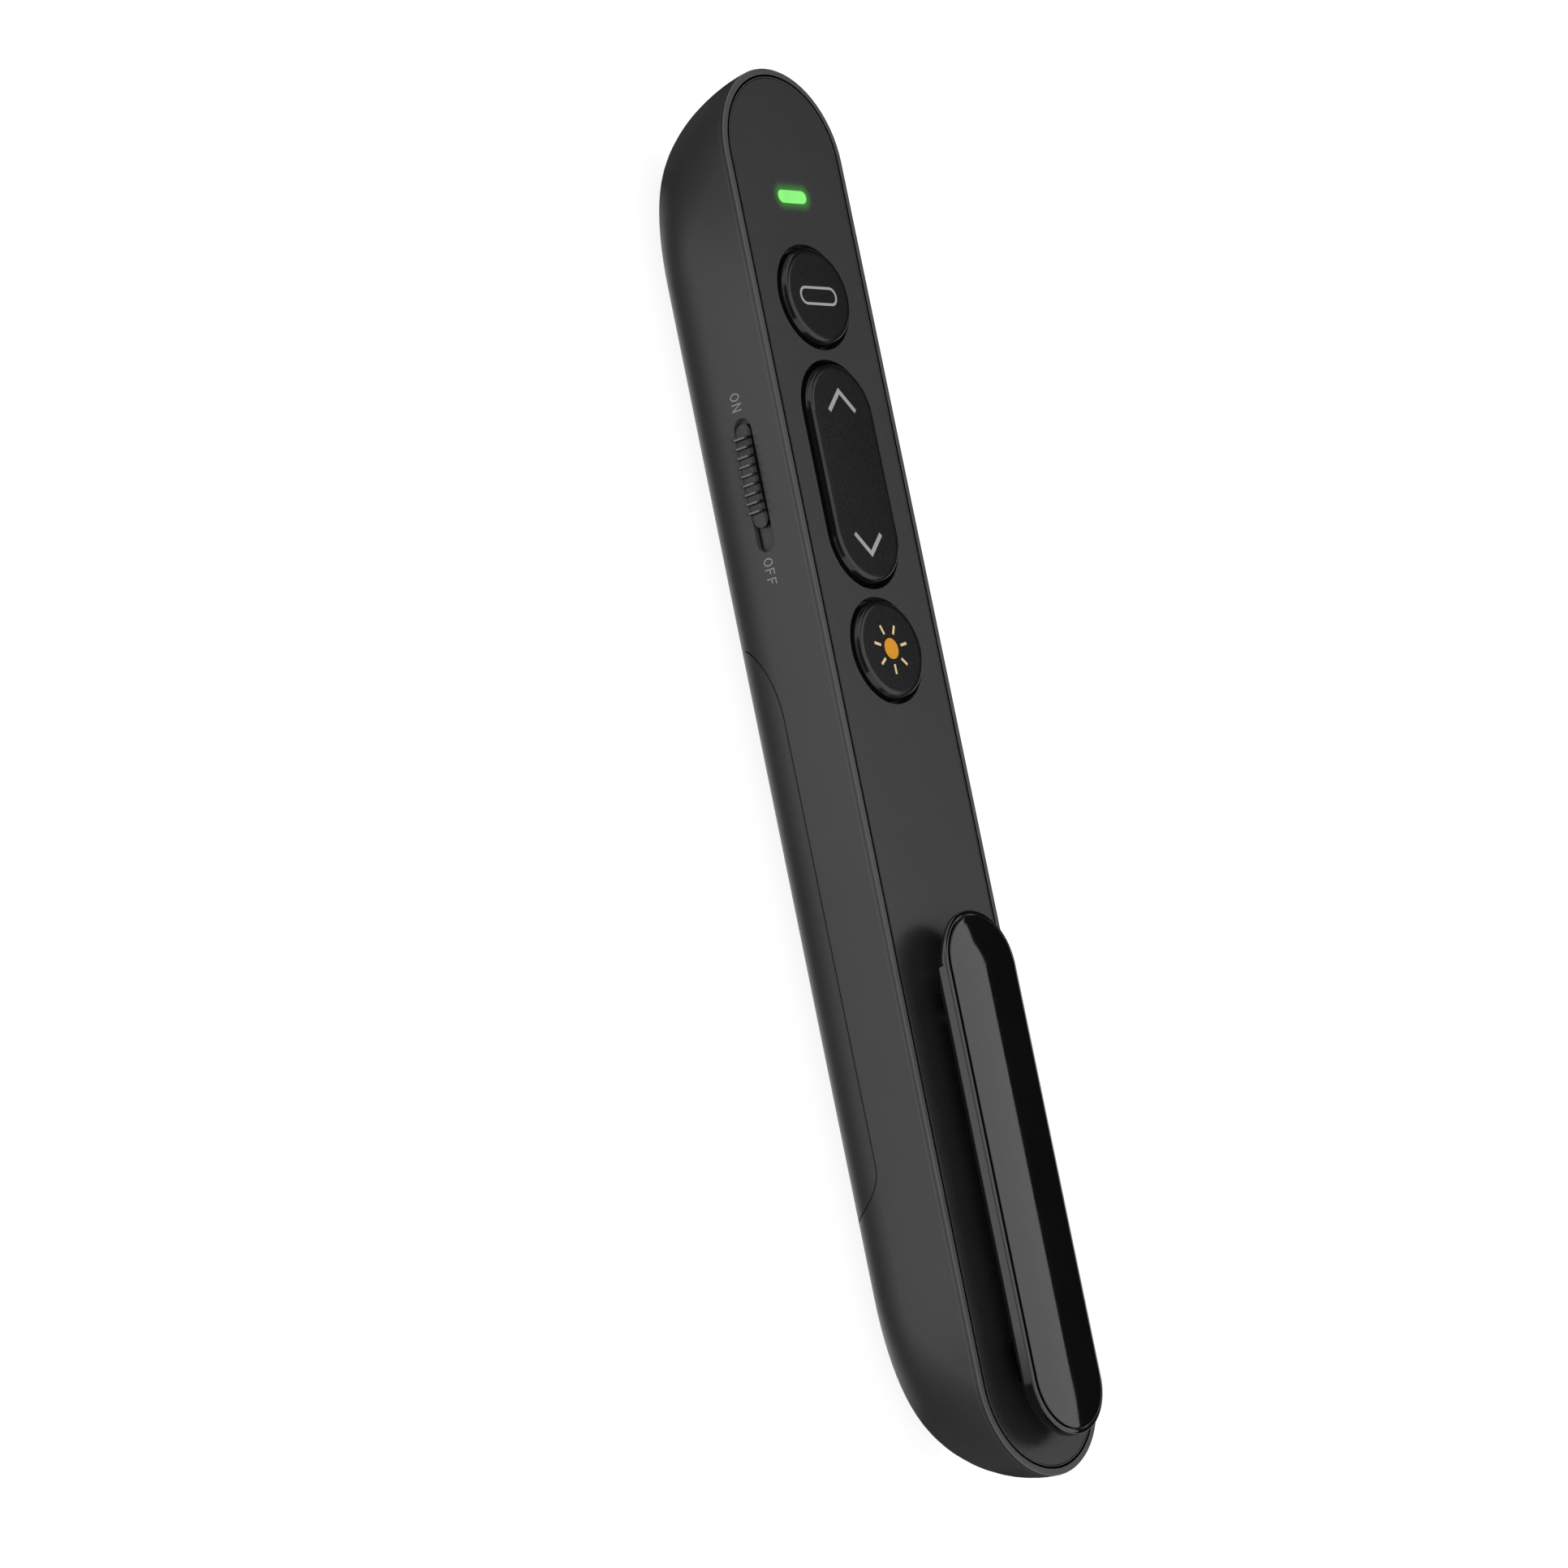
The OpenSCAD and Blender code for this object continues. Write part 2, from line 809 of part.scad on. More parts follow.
module power_knob() {
    inner = -half_width + slot_skin + fit;
    color("#5b5c5f")
        union() {
            block(
                [inner, knob_y - pad_half_length, side_z - pad_half_width],
                [inner + pad_thickness, knob_y + pad_half_length, side_z + pad_half_width]
            );
            intersection() {
                translate([-half_width - 1, knob_y, side_z])
                    rotate([0, 90, 0])
                        slot_prism(knob_length, slot_width - 2 * knob_side_gap, slot_skin + 1.2);
                knob_face(inner + step);
            }
            for (side = [-1, 1])
                translate([0, knob_y + side * (lever_width + fork_width + fit) / 2, lever_z])
                    block(
                        [inner + pad_thickness - step, -fork_width / 2, -lever_height / 2],
                        [switch_x - 0.25, fork_width / 2, lever_height / 2]
                    );
        }
}

// Low crown of the knob with its ribs, as a profile seen along Z that ends at the depth root.
module knob_face(root) {
    crown_radius = (knob_length * knob_length / 4 + knob_crown * knob_crown) / (2 * knob_crown);
    translate([0, knob_y, side_z - slot_width])
        linear_extrude(2 * slot_width) {
            intersection() {
                translate([-half_width - knob_crown + crown_radius, 0])
                    circle(crown_radius, $fn = 240);
                translate([-half_width - 2, -knob_length / 2])
                    square([root + half_width + 2, knob_length]);
            }
            for (i = [0:knob_ribs - 1])
                translate([
                    -half_width - knob_crown - rib_height,
                    (i - (knob_ribs - 1) / 2) * rib_pitch - rib_width / 2
                ])
                    square([rib_height + knob_crown, rib_width]);
        }
}

module slide_switch_case() {
    color("silver")
        difference() {
            block(
                [switch_x, slot_y - switch_case[1] / 2, board_under - switch_case[2]],
                [switch_x + switch_case[0], slot_y + switch_case[1] / 2, board_under]
            );
            block(
                [
                    switch_x - 1,
                    slot_y - (lever_width + power_travel) / 2 - lever_play,
                    lever_z - lever_height / 2 - lever_play
                ],
                [
                    switch_x + lever_in + lever_play,
                    slot_y + (lever_width + power_travel) / 2 + lever_play,
                    lever_z + lever_height / 2 + lever_play
                ]
            );
        }
}

module slide_switch_lever() {
    color("#19191a")
        block(
            [switch_x - lever_out, knob_y - lever_width / 2, lever_z - lever_height / 2],
            [switch_x + lever_in, knob_y + lever_width / 2, lever_z + lever_height / 2]
        );
}

// The key's face is crowned along and across; its web carries two axle stubs.
module side_key() {
    top = half_width + key_proud;
    r = key_width / 2;
    web = key_inner_x + 0.6;
    layers = [[0, web, top - 0.4 - web], [0.12, top - 0.24, 0.04], [0.5, top - 0.04, 0.04]];
    color("#2c2d2f") {
        hull()
            for (layer = layers, side = [-1, 1])
                translate([layer[1], key_y + side * (key_length / 2 - r), side_z])
                    rotate([0, 90, 0])
                        cylinder(h = layer[2], r = r - layer[0], $fn = 32);
        block(
            [key_inner_x, key_y - 1, side_z - r],
            [key_inner_x + 1, key_y + 1, side_z + r]
        );
        translate([key_pivot_x, key_y, side_z - r - clear - key_saddle])
            cylinder(h = key_width + 2 * (clear + key_saddle), r = key_axle_radius);
    }
}

module side_plungers() {
    color("#19191a")
        for (side = [-1, 1])
            translate([side_tact_x - 0.5, key_y + side * page_offset, side_tact_z])
                rotate([0, 90, 0])
                    cylinder(h = key_inner_x + 0.6 - side_tact_x + 0.5, r = side_plunger_radius);
}

module side_tacts() {
    color("silver")
        for (side = [-1, 1])
            translate([side_tact_x, key_y + side * page_offset, side_tact_z])
                difference() {
                    translate([-side_tact[0], -side_tact[1] / 2, -side_tact[2] / 2])
                        cube(side_tact);
                    rotate([0, -90, 0])
                        translate([0, 0, -1])
                            cylinder(h = 2.1, r = side_plunger_radius + 0.15);
                }
}

module battery_door() {
    color("#3a3b3d")
        union() {
            difference() {
                intersection() {
                    outer_form();
                    door_space(door_gap);
                }
                inner_form(wall);
            }
            door_tabs();
        }
}

// Four tabs that reach up inside the side walls and keep the door in line.
module door_tabs() {
    for (side = [-1, 1], y = tab_rows)
        translate([side * (half_width - wall - 0.1 - tab_thickness / 2), y, 0])
            block(
                [-tab_thickness / 2, -tab_length / 2, door_corner - tab_root],
                [tab_thickness / 2, tab_length / 2, door_corner + tab_reach]
            );
}

// The clip is a shallow pillow with a grip ridge under its free end; its foot passes through the
// plate to the pin. Each layer gives how far it is drawn in, where it starts and how high it is.
module clip() {
    layers = [
        [0, 0, clip_edge - 0.4],
        [0.14, clip_edge - 0.16, 0.04],
        [0.45, clip_edge, 0.04],
        [1.7, clip_edge + 0.16, 0.04],
        [3.4, clip_edge + 0.26, 0.04],
        [5, clip_edge + clip_crown - 0.04, 0.04]
    ];
    color("#17171a")
        difference() {
            union() {
                hull()
                    for (layer = layers, side = [-1, 1])
                        translate([
                            0,
                            clip_y + side * (clip_length / 2 - clip_half),
                            clip_under + layer[1]
                        ])
                            cylinder(h = layer[2], r = clip_half - layer[0], $fn = 48);
                block(
                    [-lug_half, pin_y - lug_radius, pin_z],
                    [lug_half, pin_y + lug_radius, clip_under + 0.4]
                );
                rod_x(-lug_half, lug_half, pin_y, pin_z, lug_radius);
                intersection() {
                    rod_x(-ridge_half, ridge_half, ridge_y, clip_under, ridge_radius);
                    block(
                        [-ridge_half, ridge_y - ridge_radius, front],
                        [ridge_half, ridge_y + ridge_radius, clip_under + clip_edge / 2]
                    );
                }
            }
            clip_undercuts();
            rod_x(-half_width, half_width, pin_y, pin_z, pin_radius + fit);
        }
}

// Lead-in under the free end and the smaller relief under the bottom end.
module clip_undercuts() {
    translate([-half_width, 0, 0])
        rotate([90, 0, 90])
            linear_extrude(body_width) {
                translate([clip_tip, clip_under])
                    polygon([[-5.8, -1], [-5.6, 0], [-4.5, 1.05], [1, 1.25], [1, -1]]);
                translate([clip_bottom, clip_under])
                    polygon([[4.8, -1], [4.6, 0], [4, 0.45], [-1, 0.55], [-1, -1]]);
            }
}

module clip_pin() {
    color("#c7c9cc")
        rod_x(-ear_x - ear_thickness, ear_x + ear_thickness, pin_y, pin_z, pin_radius);
}

// Two torsion coils on the pin, one each side of the foot, with their legs under the plate.
module clip_springs() {
    pitch = (ear_x - lug_half - 2 * spring_side_gap - spring_wire) / spring_turns;
    color("#a9acb0")
        for (side = [-1, 1])
            mirror([side > 0 ? 0 : 1, 0, 0])
                translate([lug_half + spring_side_gap + spring_wire / 2, pin_y, pin_z]) {
                    rotate([0, 90, 0])
                        coil(spring_radius, spring_wire / 2, pitch, spring_turns);
                    for (x = [0, pitch * spring_turns])
                        rod_y(x, -spring_leg, 0, spring_radius, spring_wire / 2, $fn = 16);
                }
}

module laser_barrel() {
    color("#b08d57")
        difference() {
            rod_y(0, barrel_back, lens_y - 0.1, barrel_z, barrel_radius);
            rod_y(0, lens_y - barrel_bore_depth, lens_y, barrel_z, barrel_bore);
        }
}

module laser_lens() {
    color("#c94a3c")
        rod_y(0, lens_y, lens_y + lens_thickness, barrel_z, lens_radius);
}

module laser_driver() {
    color("#1f6b45")
        translate([-driver_size[0] / 2, barrel_back - driver_size[1], barrel_z - driver_size[2] / 2])
            cube(driver_size);
}

module battery_cell() {
    color("#7d8086")
        rod_y(0, cell_back, cell_front - nub_length, cell_z, cell_radius);
}

module cell_cap() {
    color("silver")
        rod_y(0, cell_front - nub_length, cell_front, cell_z, nub_radius);
}

module negative_spring() {
    pitch = (spring_space - cell_spring_wire) / cell_spring_turns;
    color("silver")
        translate([0, cell_back - cell_spring_wire / 2, cell_z])
            rotate([90, 0, 0])
                coil(cell_spring_radius, cell_spring_wire / 2, pitch, cell_spring_turns);
}

module negative_contact() {
    tail = lead_half - 0.2;
    arm_z = cell_z + contact_half - 1;
    color("silver") {
        block(
            [-contact_half, back_rib_y, cell_z - contact_half],
            [contact_half, back_rib_y + contact_thickness, cell_z + contact_half]
        );
        block(
            [lead_x - tail, back_rib_y, arm_z],
            [-contact_half + 1, back_rib_y + contact_thickness, cell_z + contact_half]
        );
        block(
            [lead_x - tail, back_rib_y, arm_z],
            [lead_x + tail, back_rib_y + contact_thickness, tray_top]
        );
    }
}

module positive_contact() {
    color("silver") {
        block(
            [-contact_half, cell_front, cell_z - contact_half],
            [contact_half, cell_front + contact_thickness, cell_z + contact_half]
        );
        block(
            [-tail_half, cell_front, cell_z],
            [tail_half, cell_front + contact_thickness, board_under]
        );
        block(
            [-tail_half, cell_front, board_under - contact_thickness],
            [tail_half, board_y1 + 1.5, board_under]
        );
    }
}

// Flat lead in the channel under the plate, from the negative contact to the board.
module battery_lead() {
    y = board_y1 + 0.6;
    x1 = lead_x - lead_half;
    x2 = lead_x + lead_half;
    low = lead_z - lead_thickness / 2;
    color("#c9a227") {
        block([x1, back_rib_y, low], [x2, y + lead_thickness, low + lead_thickness]);
        block([x1, y, board_top], [x2, y + lead_thickness, lead_z]);
    }
}

// Grip of the stored receiver, with its lower edges rounded to follow the door.
module receiver_grip() {
    half = receiver_width / 2 - grip_round;
    low = receiver_z - grip_height / 2;
    color("#232325")
        translate([0, grip_end, 0])
            rotate([90, 0, 0])
                linear_extrude(grip_length) {
                    translate([-half - grip_round, low + grip_round])
                        square([receiver_width, grip_height - grip_round]);
                    translate([-half, low])
                        square([2 * half, grip_height / 2]);
                    for (side = [-1, 1])
                        translate([side * half, low + grip_round])
                            circle(grip_round);
                }
}

// The plug's metal tube, with the two catch windows in its upper face.
module receiver_plug() {
    half = plug_width / 2;
    low = receiver_z - plug_height / 2;
    color("#c7c9cc")
        difference() {
            block([-half, grip_end, low], [half, plug_end, low + plug_height]);
            block(
                [-half + plug_skin, grip_end + 1, low + plug_skin],
                [half - plug_skin, plug_end + 1, low + plug_height - plug_skin]
            );
            for (side = [-1, 1])
                translate([side * plug_window_x, plug_window_y, receiver_z])
                    block(
                        [-plug_window / 2, 0, 0],
                        [plug_window / 2, plug_window, plug_height]
                    );
        }
}

module receiver_tongue() {
    half = plug_width / 2 - plug_skin;
    color("#f0f0ee")
        block(
            [-half, grip_end + 1, receiver_z - plug_height / 2 + plug_skin],
            [half, plug_end - 0.6, receiver_z - play]
        );
}

rear_shell();
front_plate();
screen_button();
page_rocker();
laser_button();
light_pipe();
power_knob();
side_key();
battery_door();
clip();
clip_pin();
clip_springs();
circuit_board();
board_screws();
front_tacts();
screen_plunger();
page_plungers();
laser_plunger();
side_tacts();
side_plungers();
slide_switch_case();
slide_switch_lever();
status_led();
radio_chip();
memory_chip();
crystal();
laser_barrel();
laser_lens();
laser_driver();
battery_cell();
cell_cap();
negative_spring();
negative_contact();
positive_contact();
battery_lead();
receiver_grip();
receiver_plug();
receiver_tongue();
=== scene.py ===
"""Looks of the wireless presentation clicker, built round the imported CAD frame."""
import math

import bmesh
import bpy
from mathutils import Matrix, Vector


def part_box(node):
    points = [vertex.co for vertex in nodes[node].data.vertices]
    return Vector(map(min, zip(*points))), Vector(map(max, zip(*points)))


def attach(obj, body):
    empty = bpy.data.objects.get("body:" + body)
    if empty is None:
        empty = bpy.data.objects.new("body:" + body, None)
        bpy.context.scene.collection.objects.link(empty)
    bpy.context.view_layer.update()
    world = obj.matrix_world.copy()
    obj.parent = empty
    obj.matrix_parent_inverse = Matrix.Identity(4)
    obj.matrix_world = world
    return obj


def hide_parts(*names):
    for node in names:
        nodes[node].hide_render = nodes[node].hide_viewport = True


MM = 0.001

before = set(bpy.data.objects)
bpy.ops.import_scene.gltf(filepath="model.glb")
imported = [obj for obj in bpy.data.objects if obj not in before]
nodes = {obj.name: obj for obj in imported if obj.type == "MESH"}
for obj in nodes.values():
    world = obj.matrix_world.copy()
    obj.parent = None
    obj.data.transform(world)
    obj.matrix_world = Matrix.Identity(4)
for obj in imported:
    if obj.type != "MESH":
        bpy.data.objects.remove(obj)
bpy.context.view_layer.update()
scene = bpy.context.scene

# ---------------------------------------------------------------- sizes, in mm
# The body: its front lies at Z = FRONT, its back at Z = 0.
BODY_LENGTH = 149.97
BODY_WIDTH = 19.4
BODY_DEPTH = 15.1
HALF_WIDTH = BODY_WIDTH / 2
HALF_LENGTH = BODY_LENGTH / 2
FRONT = BODY_DEPTH
SIDE_STRAIGHT = 7.0
TOP_RAKE = 9.6
BOTTOM_RAKE = 12.4
FORM_DEPTH = BODY_DEPTH + 0.25
SIDE_POWER = 2.12
END_POWER = 1.78
END_STRETCH = 1.37
# Depths of the sections down the straight sides, then the count and crowding of the lower ones.
STRAIGHT_DEPTHS = [0.62, 1.2, 2.2, 3.3, 4.5, 5.8, SIDE_STRAIGHT]
LOWER_SECTIONS = 26
LOWER_CROWDING = 1.75
FORM_STEPS = 32
# Edge of the rim: depth under the front, and how far it is drawn in.
RIM_EDGE = [
    (0.0, 0.2), (0.015, 0.125), (0.059, 0.059), (0.125, 0.015), (0.2, 0.0), (0.5, 0.0),
]
RIM_WIDTH = 0.95
SKIN_WALL = 1.0
RIBS_INSET = 0.7
PLATE_THICKNESS = 1.3
PLATE_UNDER = FRONT - PLATE_THICKNESS
PLATE_GAP = 0.08

# Openings of the skin are tighter than those of the CAD; cuts run from CUT_IN to CUT_OUT in X.
TIGHT = 0.02
CUT_IN = 8.0
CUT_OUT = 12.0
OVERCUT = 2.0

# Width of the rounded edges of each form.
ROUND = {
    "housing": 0.14, "door": 0.09, "plate": 0.05, "cap": 0.05, "clip": 0.02, "key": 0.05,
}
ROUND_SEGMENTS = 2

LAMP_Y = 61.0
LAMP_STRAIGHT = 1.6
# Near and far edge in mm of the painted glow on the plate round the lamp's window.
LAMP_GLOW = (0.3, 1.9)
SCREEN_Y = 50.1
ROCKER_Y = 31.0
LASER_Y = 12.1
CAP_RADIUS = 5.25
CAP_TOP = FRONT + 0.72
CAP_SKIRT = 0.3
# Edge of the caps: how far it is drawn in, and how deep under the top.
CAP_EDGE = [
    (0.0, 0.56), (0.006, 0.54), (0.18, 0.15), (0.186, 0.135), (0.215, 0.09), (0.225, 0.08),
    (0.3, 0.035), (0.36, 0.014), (0.44, 0.0), (0.8, 0.0),
]
FLANGE_RADIUS = 6.025
FLANGE_Z = (13.1, 13.7)
STEM_RADIUS = 2.0
STEM_TOP = 13.2
ROCKER_LENGTH = 23.6
ROCKER_UNDER = 13.2
ROCKER_AXLE_Z = PLATE_UNDER - 0.95
ROCKER_AXLE_RADIUS = 0.55
AXLE_STEPS = 32
ROCKER_WEB_INSET = 0.4
ROCKER_WEB_HALF = 0.8
ROCKER_WEB_TOP = 13.5

# The two slots of the side walls, and the key in the right one.
SIDE_Z = FRONT - 5.1
SLOT_Y = 31.0
SLOT_LENGTH = 14.3
SLOT_WIDTH = 2.3
KEY_Y = 37.3
KEY_LENGTH = 23.0
KEY_WIDTH = 3.0
KEY_SLOT = (23.6, 3.4)
KEY_IN = 7.6
KEY_OUT = HALF_WIDTH + 1.0
KEY_ROUND = 0.55
KEY_ROUND_STEPS = 7
KEY_WEB_X = (7.0, 8.0)
KEY_WEB_HALF = (1.0, 1.5)
KEY_AXLE_X = 7.8
KEY_AXLE_RADIUS = 0.5
KEY_AXLE_HALF = 2.55

CLIP_Y = -44.0
CLIP_LENGTH = 55.0
CLIP_HALF = 5.85
CLIP_UNDER = FRONT + 2.4
CLIP_TOP = 19.45
CLIP_SHOULDER = CLIP_TOP - 0.25
# Edge of the clip, drawn in and under the shoulder: thin frame, fine groove, pillow's start.
CLIP_EDGE = [
    (0.0, 0.42), (0.02, 0.36), (0.06, 0.31), (0.1, 0.29), (0.37, 0.2), (0.38, 0.5),
    (0.58, 0.5), (0.585, 0.07), (0.6, 0.05), (0.64, 0.035), (0.8, 0.015), (1.1, 0.0),
]
PILLOW_INSET = 5.8
PILLOW_STEPS = 14
# Side views (Y from the end, Z over the underside) of the cuts under the clip's two ends.
CLIP_LEAD_IN = [
    (-8.2, -1), (-8.1, 0), (-7.0, 0.1), (-6.2, 0.3), (-5.4, 0.55), (-4.4, 0.8), (-3.2, 0.95),
    (1, 1.0), (1, -1),
]
CLIP_RELIEF = [(9, -1), (8, 0), (4, 0.12), (-1, 0.3), (-1, -1)]
CLIP_CUT = 8.0
FOOT_HALF = 4.5
FOOT_TOP = CLIP_UNDER + 0.8
FOOT_CUT_Y = (-80.0, -10.0)
FOOT_CUT_TOP = 22.0

SEAM_Z = 7.8
DOOR_GAP = 0.18
DOOR_WALL = 1.4
DOOR_STEPS = 22
DOOR_FLOOR = -1.0
# Top and bottom end of the door: way along Y, seam, reach across the back, power of the curve.
DOOR_ENDS = [(1, 6.4, 9.4, 0.8), (-1, -40.7, 4.9, 1.0)]
TAB_Y = (-7.4, -33.9)
TAB_X = 7.75
TAB_HALF = (0.45, 2.5)
TAB_Z = (6.3, 8.9)
SIDE_LIP_X = 8.0
SIDE_LIP_HALF = 0.12
SIDE_LIP_Y = (-40.2, 5.8)
SIDE_LIP_Z = (6.3, 8.15)
END_LIP_Z = (0.5, 0.9, 1.3, 1.9, 2.5)
END_LIP_GAP = 0.06
END_LIP_THICKNESS = 0.9
END_LIP_HALF = 4.0

BARREL_Z = 6.9
APERTURE_RADIUS = 1.5
BORE_Y = (55.0, 80.0)

# Printed marks: the layer under and over the surface, then sizes and widths of the strokes.
MARK_LAYER = (-0.03, 0.012)
SCREEN_MARK = (-0.03, SCREEN_Y - 0.08, 5.8, 1.75)
SCREEN_STROKE = 0.28
CHEVRON_APEX = 8.75
CHEVRON_ARM = 2.15
CHEVRON_STROKE = 0.5
RAY_COUNT = 7
RAY_SPAN = (1.68, 2.72)
RAY_STROKE = 0.3
DISC_RADIUS = 1.12
WORDS = (("on_mark", "ON", 39.9), ("off_mark", "OFF", 21.8))
WORD_LINE = SIDE_Z - 0.2
WORD_STROKE = 0.13
LETTER_GAP = 0.24
OVAL_STEPS = 28
# Shortest way between two points of a stroke, and least share that counts at its bends.
SHORTEST = 1e-9
LEAST_BEND = 0.3

# Smallest distances (in metres) and angles that count in a mesh.
CLOSE = 1e-7
WELD = 1e-6
FLAT = math.radians(0.4)
SHARP = math.radians(36)


# ---------------------------------------------------------------- mesh helpers
def loft(rings):
    """Vertices and faces of a closed skin through rings of equal point counts."""
    count = len(rings[0])
    verts = [p for ring in rings for p in ring]
    faces = []
    for i in range(len(rings) - 1):
        for k in range(count):
            m = (k + 1) % count
            a, b = i * count, (i + 1) * count
            faces.append((a + k, a + m, b + m, b + k))
    faces.append(tuple(range(count))[::-1])
    faces.append(tuple(range((len(rings) - 1) * count, len(rings) * count)))
    return verts, faces


def joined(parts):
    """One vertex and face list from several."""
    verts, faces = [], []
    for part_verts, part_faces in parts:
        base = len(verts)
        verts.extend(part_verts)
        faces.extend(tuple(i + base for i in face) for face in part_faces)
    return verts, faces


def circle(steps):
    """Cosine and sine at even steps round a circle."""
    turns = [2 * math.pi * i / steps for i in range(steps)]
    return [(math.cos(a), math.sin(a)) for a in turns]


def half_circle(steps):
    turns = [math.pi * i / steps for i in range(steps + 1)]
    return [(math.cos(a), math.sin(a)) for a in turns]


def stadium_ring(y, length, r, z, steps):
    """A level ring: half circles of the radius r at both ends, length end to end along Y."""
    return [
        (side * r * c, y + side * (length / 2 - r + r * s), z)
        for side in (1, -1)
        for c, s in half_circle(steps)
    ]


def side_ring(x, y, straight, r, steps):
    """A ring round a slot on the side line: half circles at Y +- straight."""
    return [
        (x, y + side * (straight + r * s), SIDE_Z + side * r * c)
        for side in (1, -1)
        for c, s in half_circle(steps)
    ]


def disc_ring(y, r, z, steps=72):
    return [(r * c, y + r * s, z) for c, s in circle(steps)]


def box_mesh(lo, hi):
    x1, y1, z1 = lo
    x2, y2, z2 = hi
    verts = [
        (x1, y1, z1), (x2, y1, z1), (x2, y2, z1), (x1, y2, z1),
        (x1, y1, z2), (x2, y1, z2), (x2, y2, z2), (x1, y2, z2),
    ]
    faces = [(3, 2, 1, 0), (4, 5, 6, 7), (0, 1, 5, 4), (1, 2, 6, 5), (2, 3, 7, 6), (3, 0, 4, 7)]
    return verts, faces


def new_object(name, data):
    """An object from a vertex and face list in mm, with its normals outward."""
    verts, faces = data
    mesh = bpy.data.meshes.new(name)
    mesh.from_pydata([(x * MM, y * MM, z * MM) for x, y, z in verts], [], faces)
    bm = bmesh.new()
    bm.from_mesh(mesh)
    bmesh.ops.remove_doubles(bm, verts=bm.verts, dist=CLOSE)
    bmesh.ops.recalc_face_normals(bm, faces=bm.faces)
    bm.to_mesh(mesh)
    bm.free()
    obj = bpy.data.objects.new(name, mesh)
    scene.collection.objects.link(obj)
    return obj


def apply_modifiers(obj):
    """Bakes the modifiers into the mesh."""
    bpy.context.view_layer.update()
    graph = bpy.context.evaluated_depsgraph_get()
    mesh = bpy.data.meshes.new_from_object(obj.evaluated_get(graph))
    obj.modifiers.clear()
    obj.data = mesh


def boolean(obj, data, operation="DIFFERENCE"):
    """Cuts obj by, or joins it to, the solid of a vertex and face list."""
    tool = new_object("tool", data)
    cut = obj.modifiers.new("cut", "BOOLEAN")
    cut.operation = operation
    cut.object = tool
    cut.solver = "EXACT"
    apply_modifiers(obj)
    bpy.data.objects.remove(tool)


def copy_of(node, name):
    """A new object with the welded mesh of a CAD node, its flat faces whole."""
    bm = bmesh.new()
    bm.from_mesh(nodes[node].data)
    bmesh.ops.remove_doubles(bm, verts=bm.verts, dist=WELD)
    bmesh.ops.dissolve_limit(bm, angle_limit=FLAT, verts=bm.verts, edges=bm.edges)
    mesh = bpy.data.meshes.new(name)
    bm.to_mesh(mesh)
    bm.free()
    obj = bpy.data.objects.new(name, mesh)
    scene.collection.objects.link(obj)
    return obj


def smooth_group():
    """Node group that shades faces smooth and keeps edges over the limit sharp."""
    group = bpy.data.node_groups.new("smooth_by_edge", "GeometryNodeTree")
    group.interface.new_socket("Geometry", in_out="INPUT", socket_type="NodeSocketGeometry")
    group.interface.new_socket("Geometry", in_out="OUTPUT", socket_type="NodeSocketGeometry")
    start = group.nodes.new("NodeGroupInput")
    end = group.nodes.new("NodeGroupOutput")
    faces = group.nodes.new("GeometryNodeSetShadeSmooth")
    edges = group.nodes.new("GeometryNodeSetShadeSmooth")
    edges.domain = "EDGE"
    edges.inputs["Shade Smooth"].default_value = False
    angle = group.nodes.new("GeometryNodeInputMeshEdgeAngle")
    over = group.nodes.new("FunctionNodeCompare")
    over.inputs["B"].default_value = SHARP
    group.links.new(start.outputs[0], faces.inputs["Geometry"])
    group.links.new(faces.outputs[0], edges.inputs["Geometry"])
    group.links.new(angle.outputs["Unsigned Angle"], over.inputs["A"])
    group.links.new(over.outputs[0], edges.inputs["Selection"])
    group.links.new(edges.outputs[0], end.inputs[0])
    return group


SMOOTH = smooth_group()


def soften(obj, width, weld=False):
    """Rounds the hard edges by width (mm) and shades the rest smooth."""
    if "custom_normal" in obj.data.attributes:
        obj.data.attributes.remove(obj.data.attributes["custom_normal"])
    if weld:
        join = obj.modifiers.new("weld", "WELD")
        join.merge_threshold = WELD
        flat = obj.modifiers.new("flat", "DECIMATE")
        flat.decimate_type = "DISSOLVE"
        flat.angle_limit = FLAT
    if width:
        bevel = obj.modifiers.new("bevel", "BEVEL")
        bevel.width = width * MM
        bevel.segments = ROUND_SEGMENTS
        bevel.limit_method = "ANGLE"
        bevel.angle_limit = SHARP
        bevel.use_clamp_overlap = True
        bevel.miter_outer = "MITER_ARC"
    shade = obj.modifiers.new("smooth", "NODES")
    shade.node_group = SMOOTH
    weight = obj.modifiers.new("weight", "WEIGHTED_NORMAL")
    weight.keep_sharp = True
    weight.weight = 60


def finish_piece(obj, body, material, replaces=()):
    obj.data.materials.clear()
    obj.data.materials.append(material)
    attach(obj, body)
    if replaces:
        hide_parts(*replaces)


# ---------------------------------------------------------------- material nodes
def node_material(name):
    """A new material with its tree, its shader and the place in object space."""
    material = bpy.data.materials.new(name)
    material.use_nodes = True
    tree = material.node_tree
    shader = tree.nodes["Principled BSDF"]
    coords = tree.nodes.new("ShaderNodeTexCoord")
    return material, tree, shader, coords.outputs["Object"]


def shader_parts(material):
    """Tree, shader and outputs of the coordinate node of a material made by surface()."""
    tree = material.node_tree
    coords = [node for node in tree.nodes if node.type == "TEX_COORD"][0]
    return tree, tree.nodes["Principled BSDF"], coords.outputs


def feed(tree, socket, value):
    """Links an output to the socket, or sets its value; a colour is given by three numbers."""
    if isinstance(value, bpy.types.NodeSocket):
        tree.links.new(value, socket)
    elif socket.type == "RGBA":
        socket.default_value = (*value, 1)
    else:
        socket.default_value = value


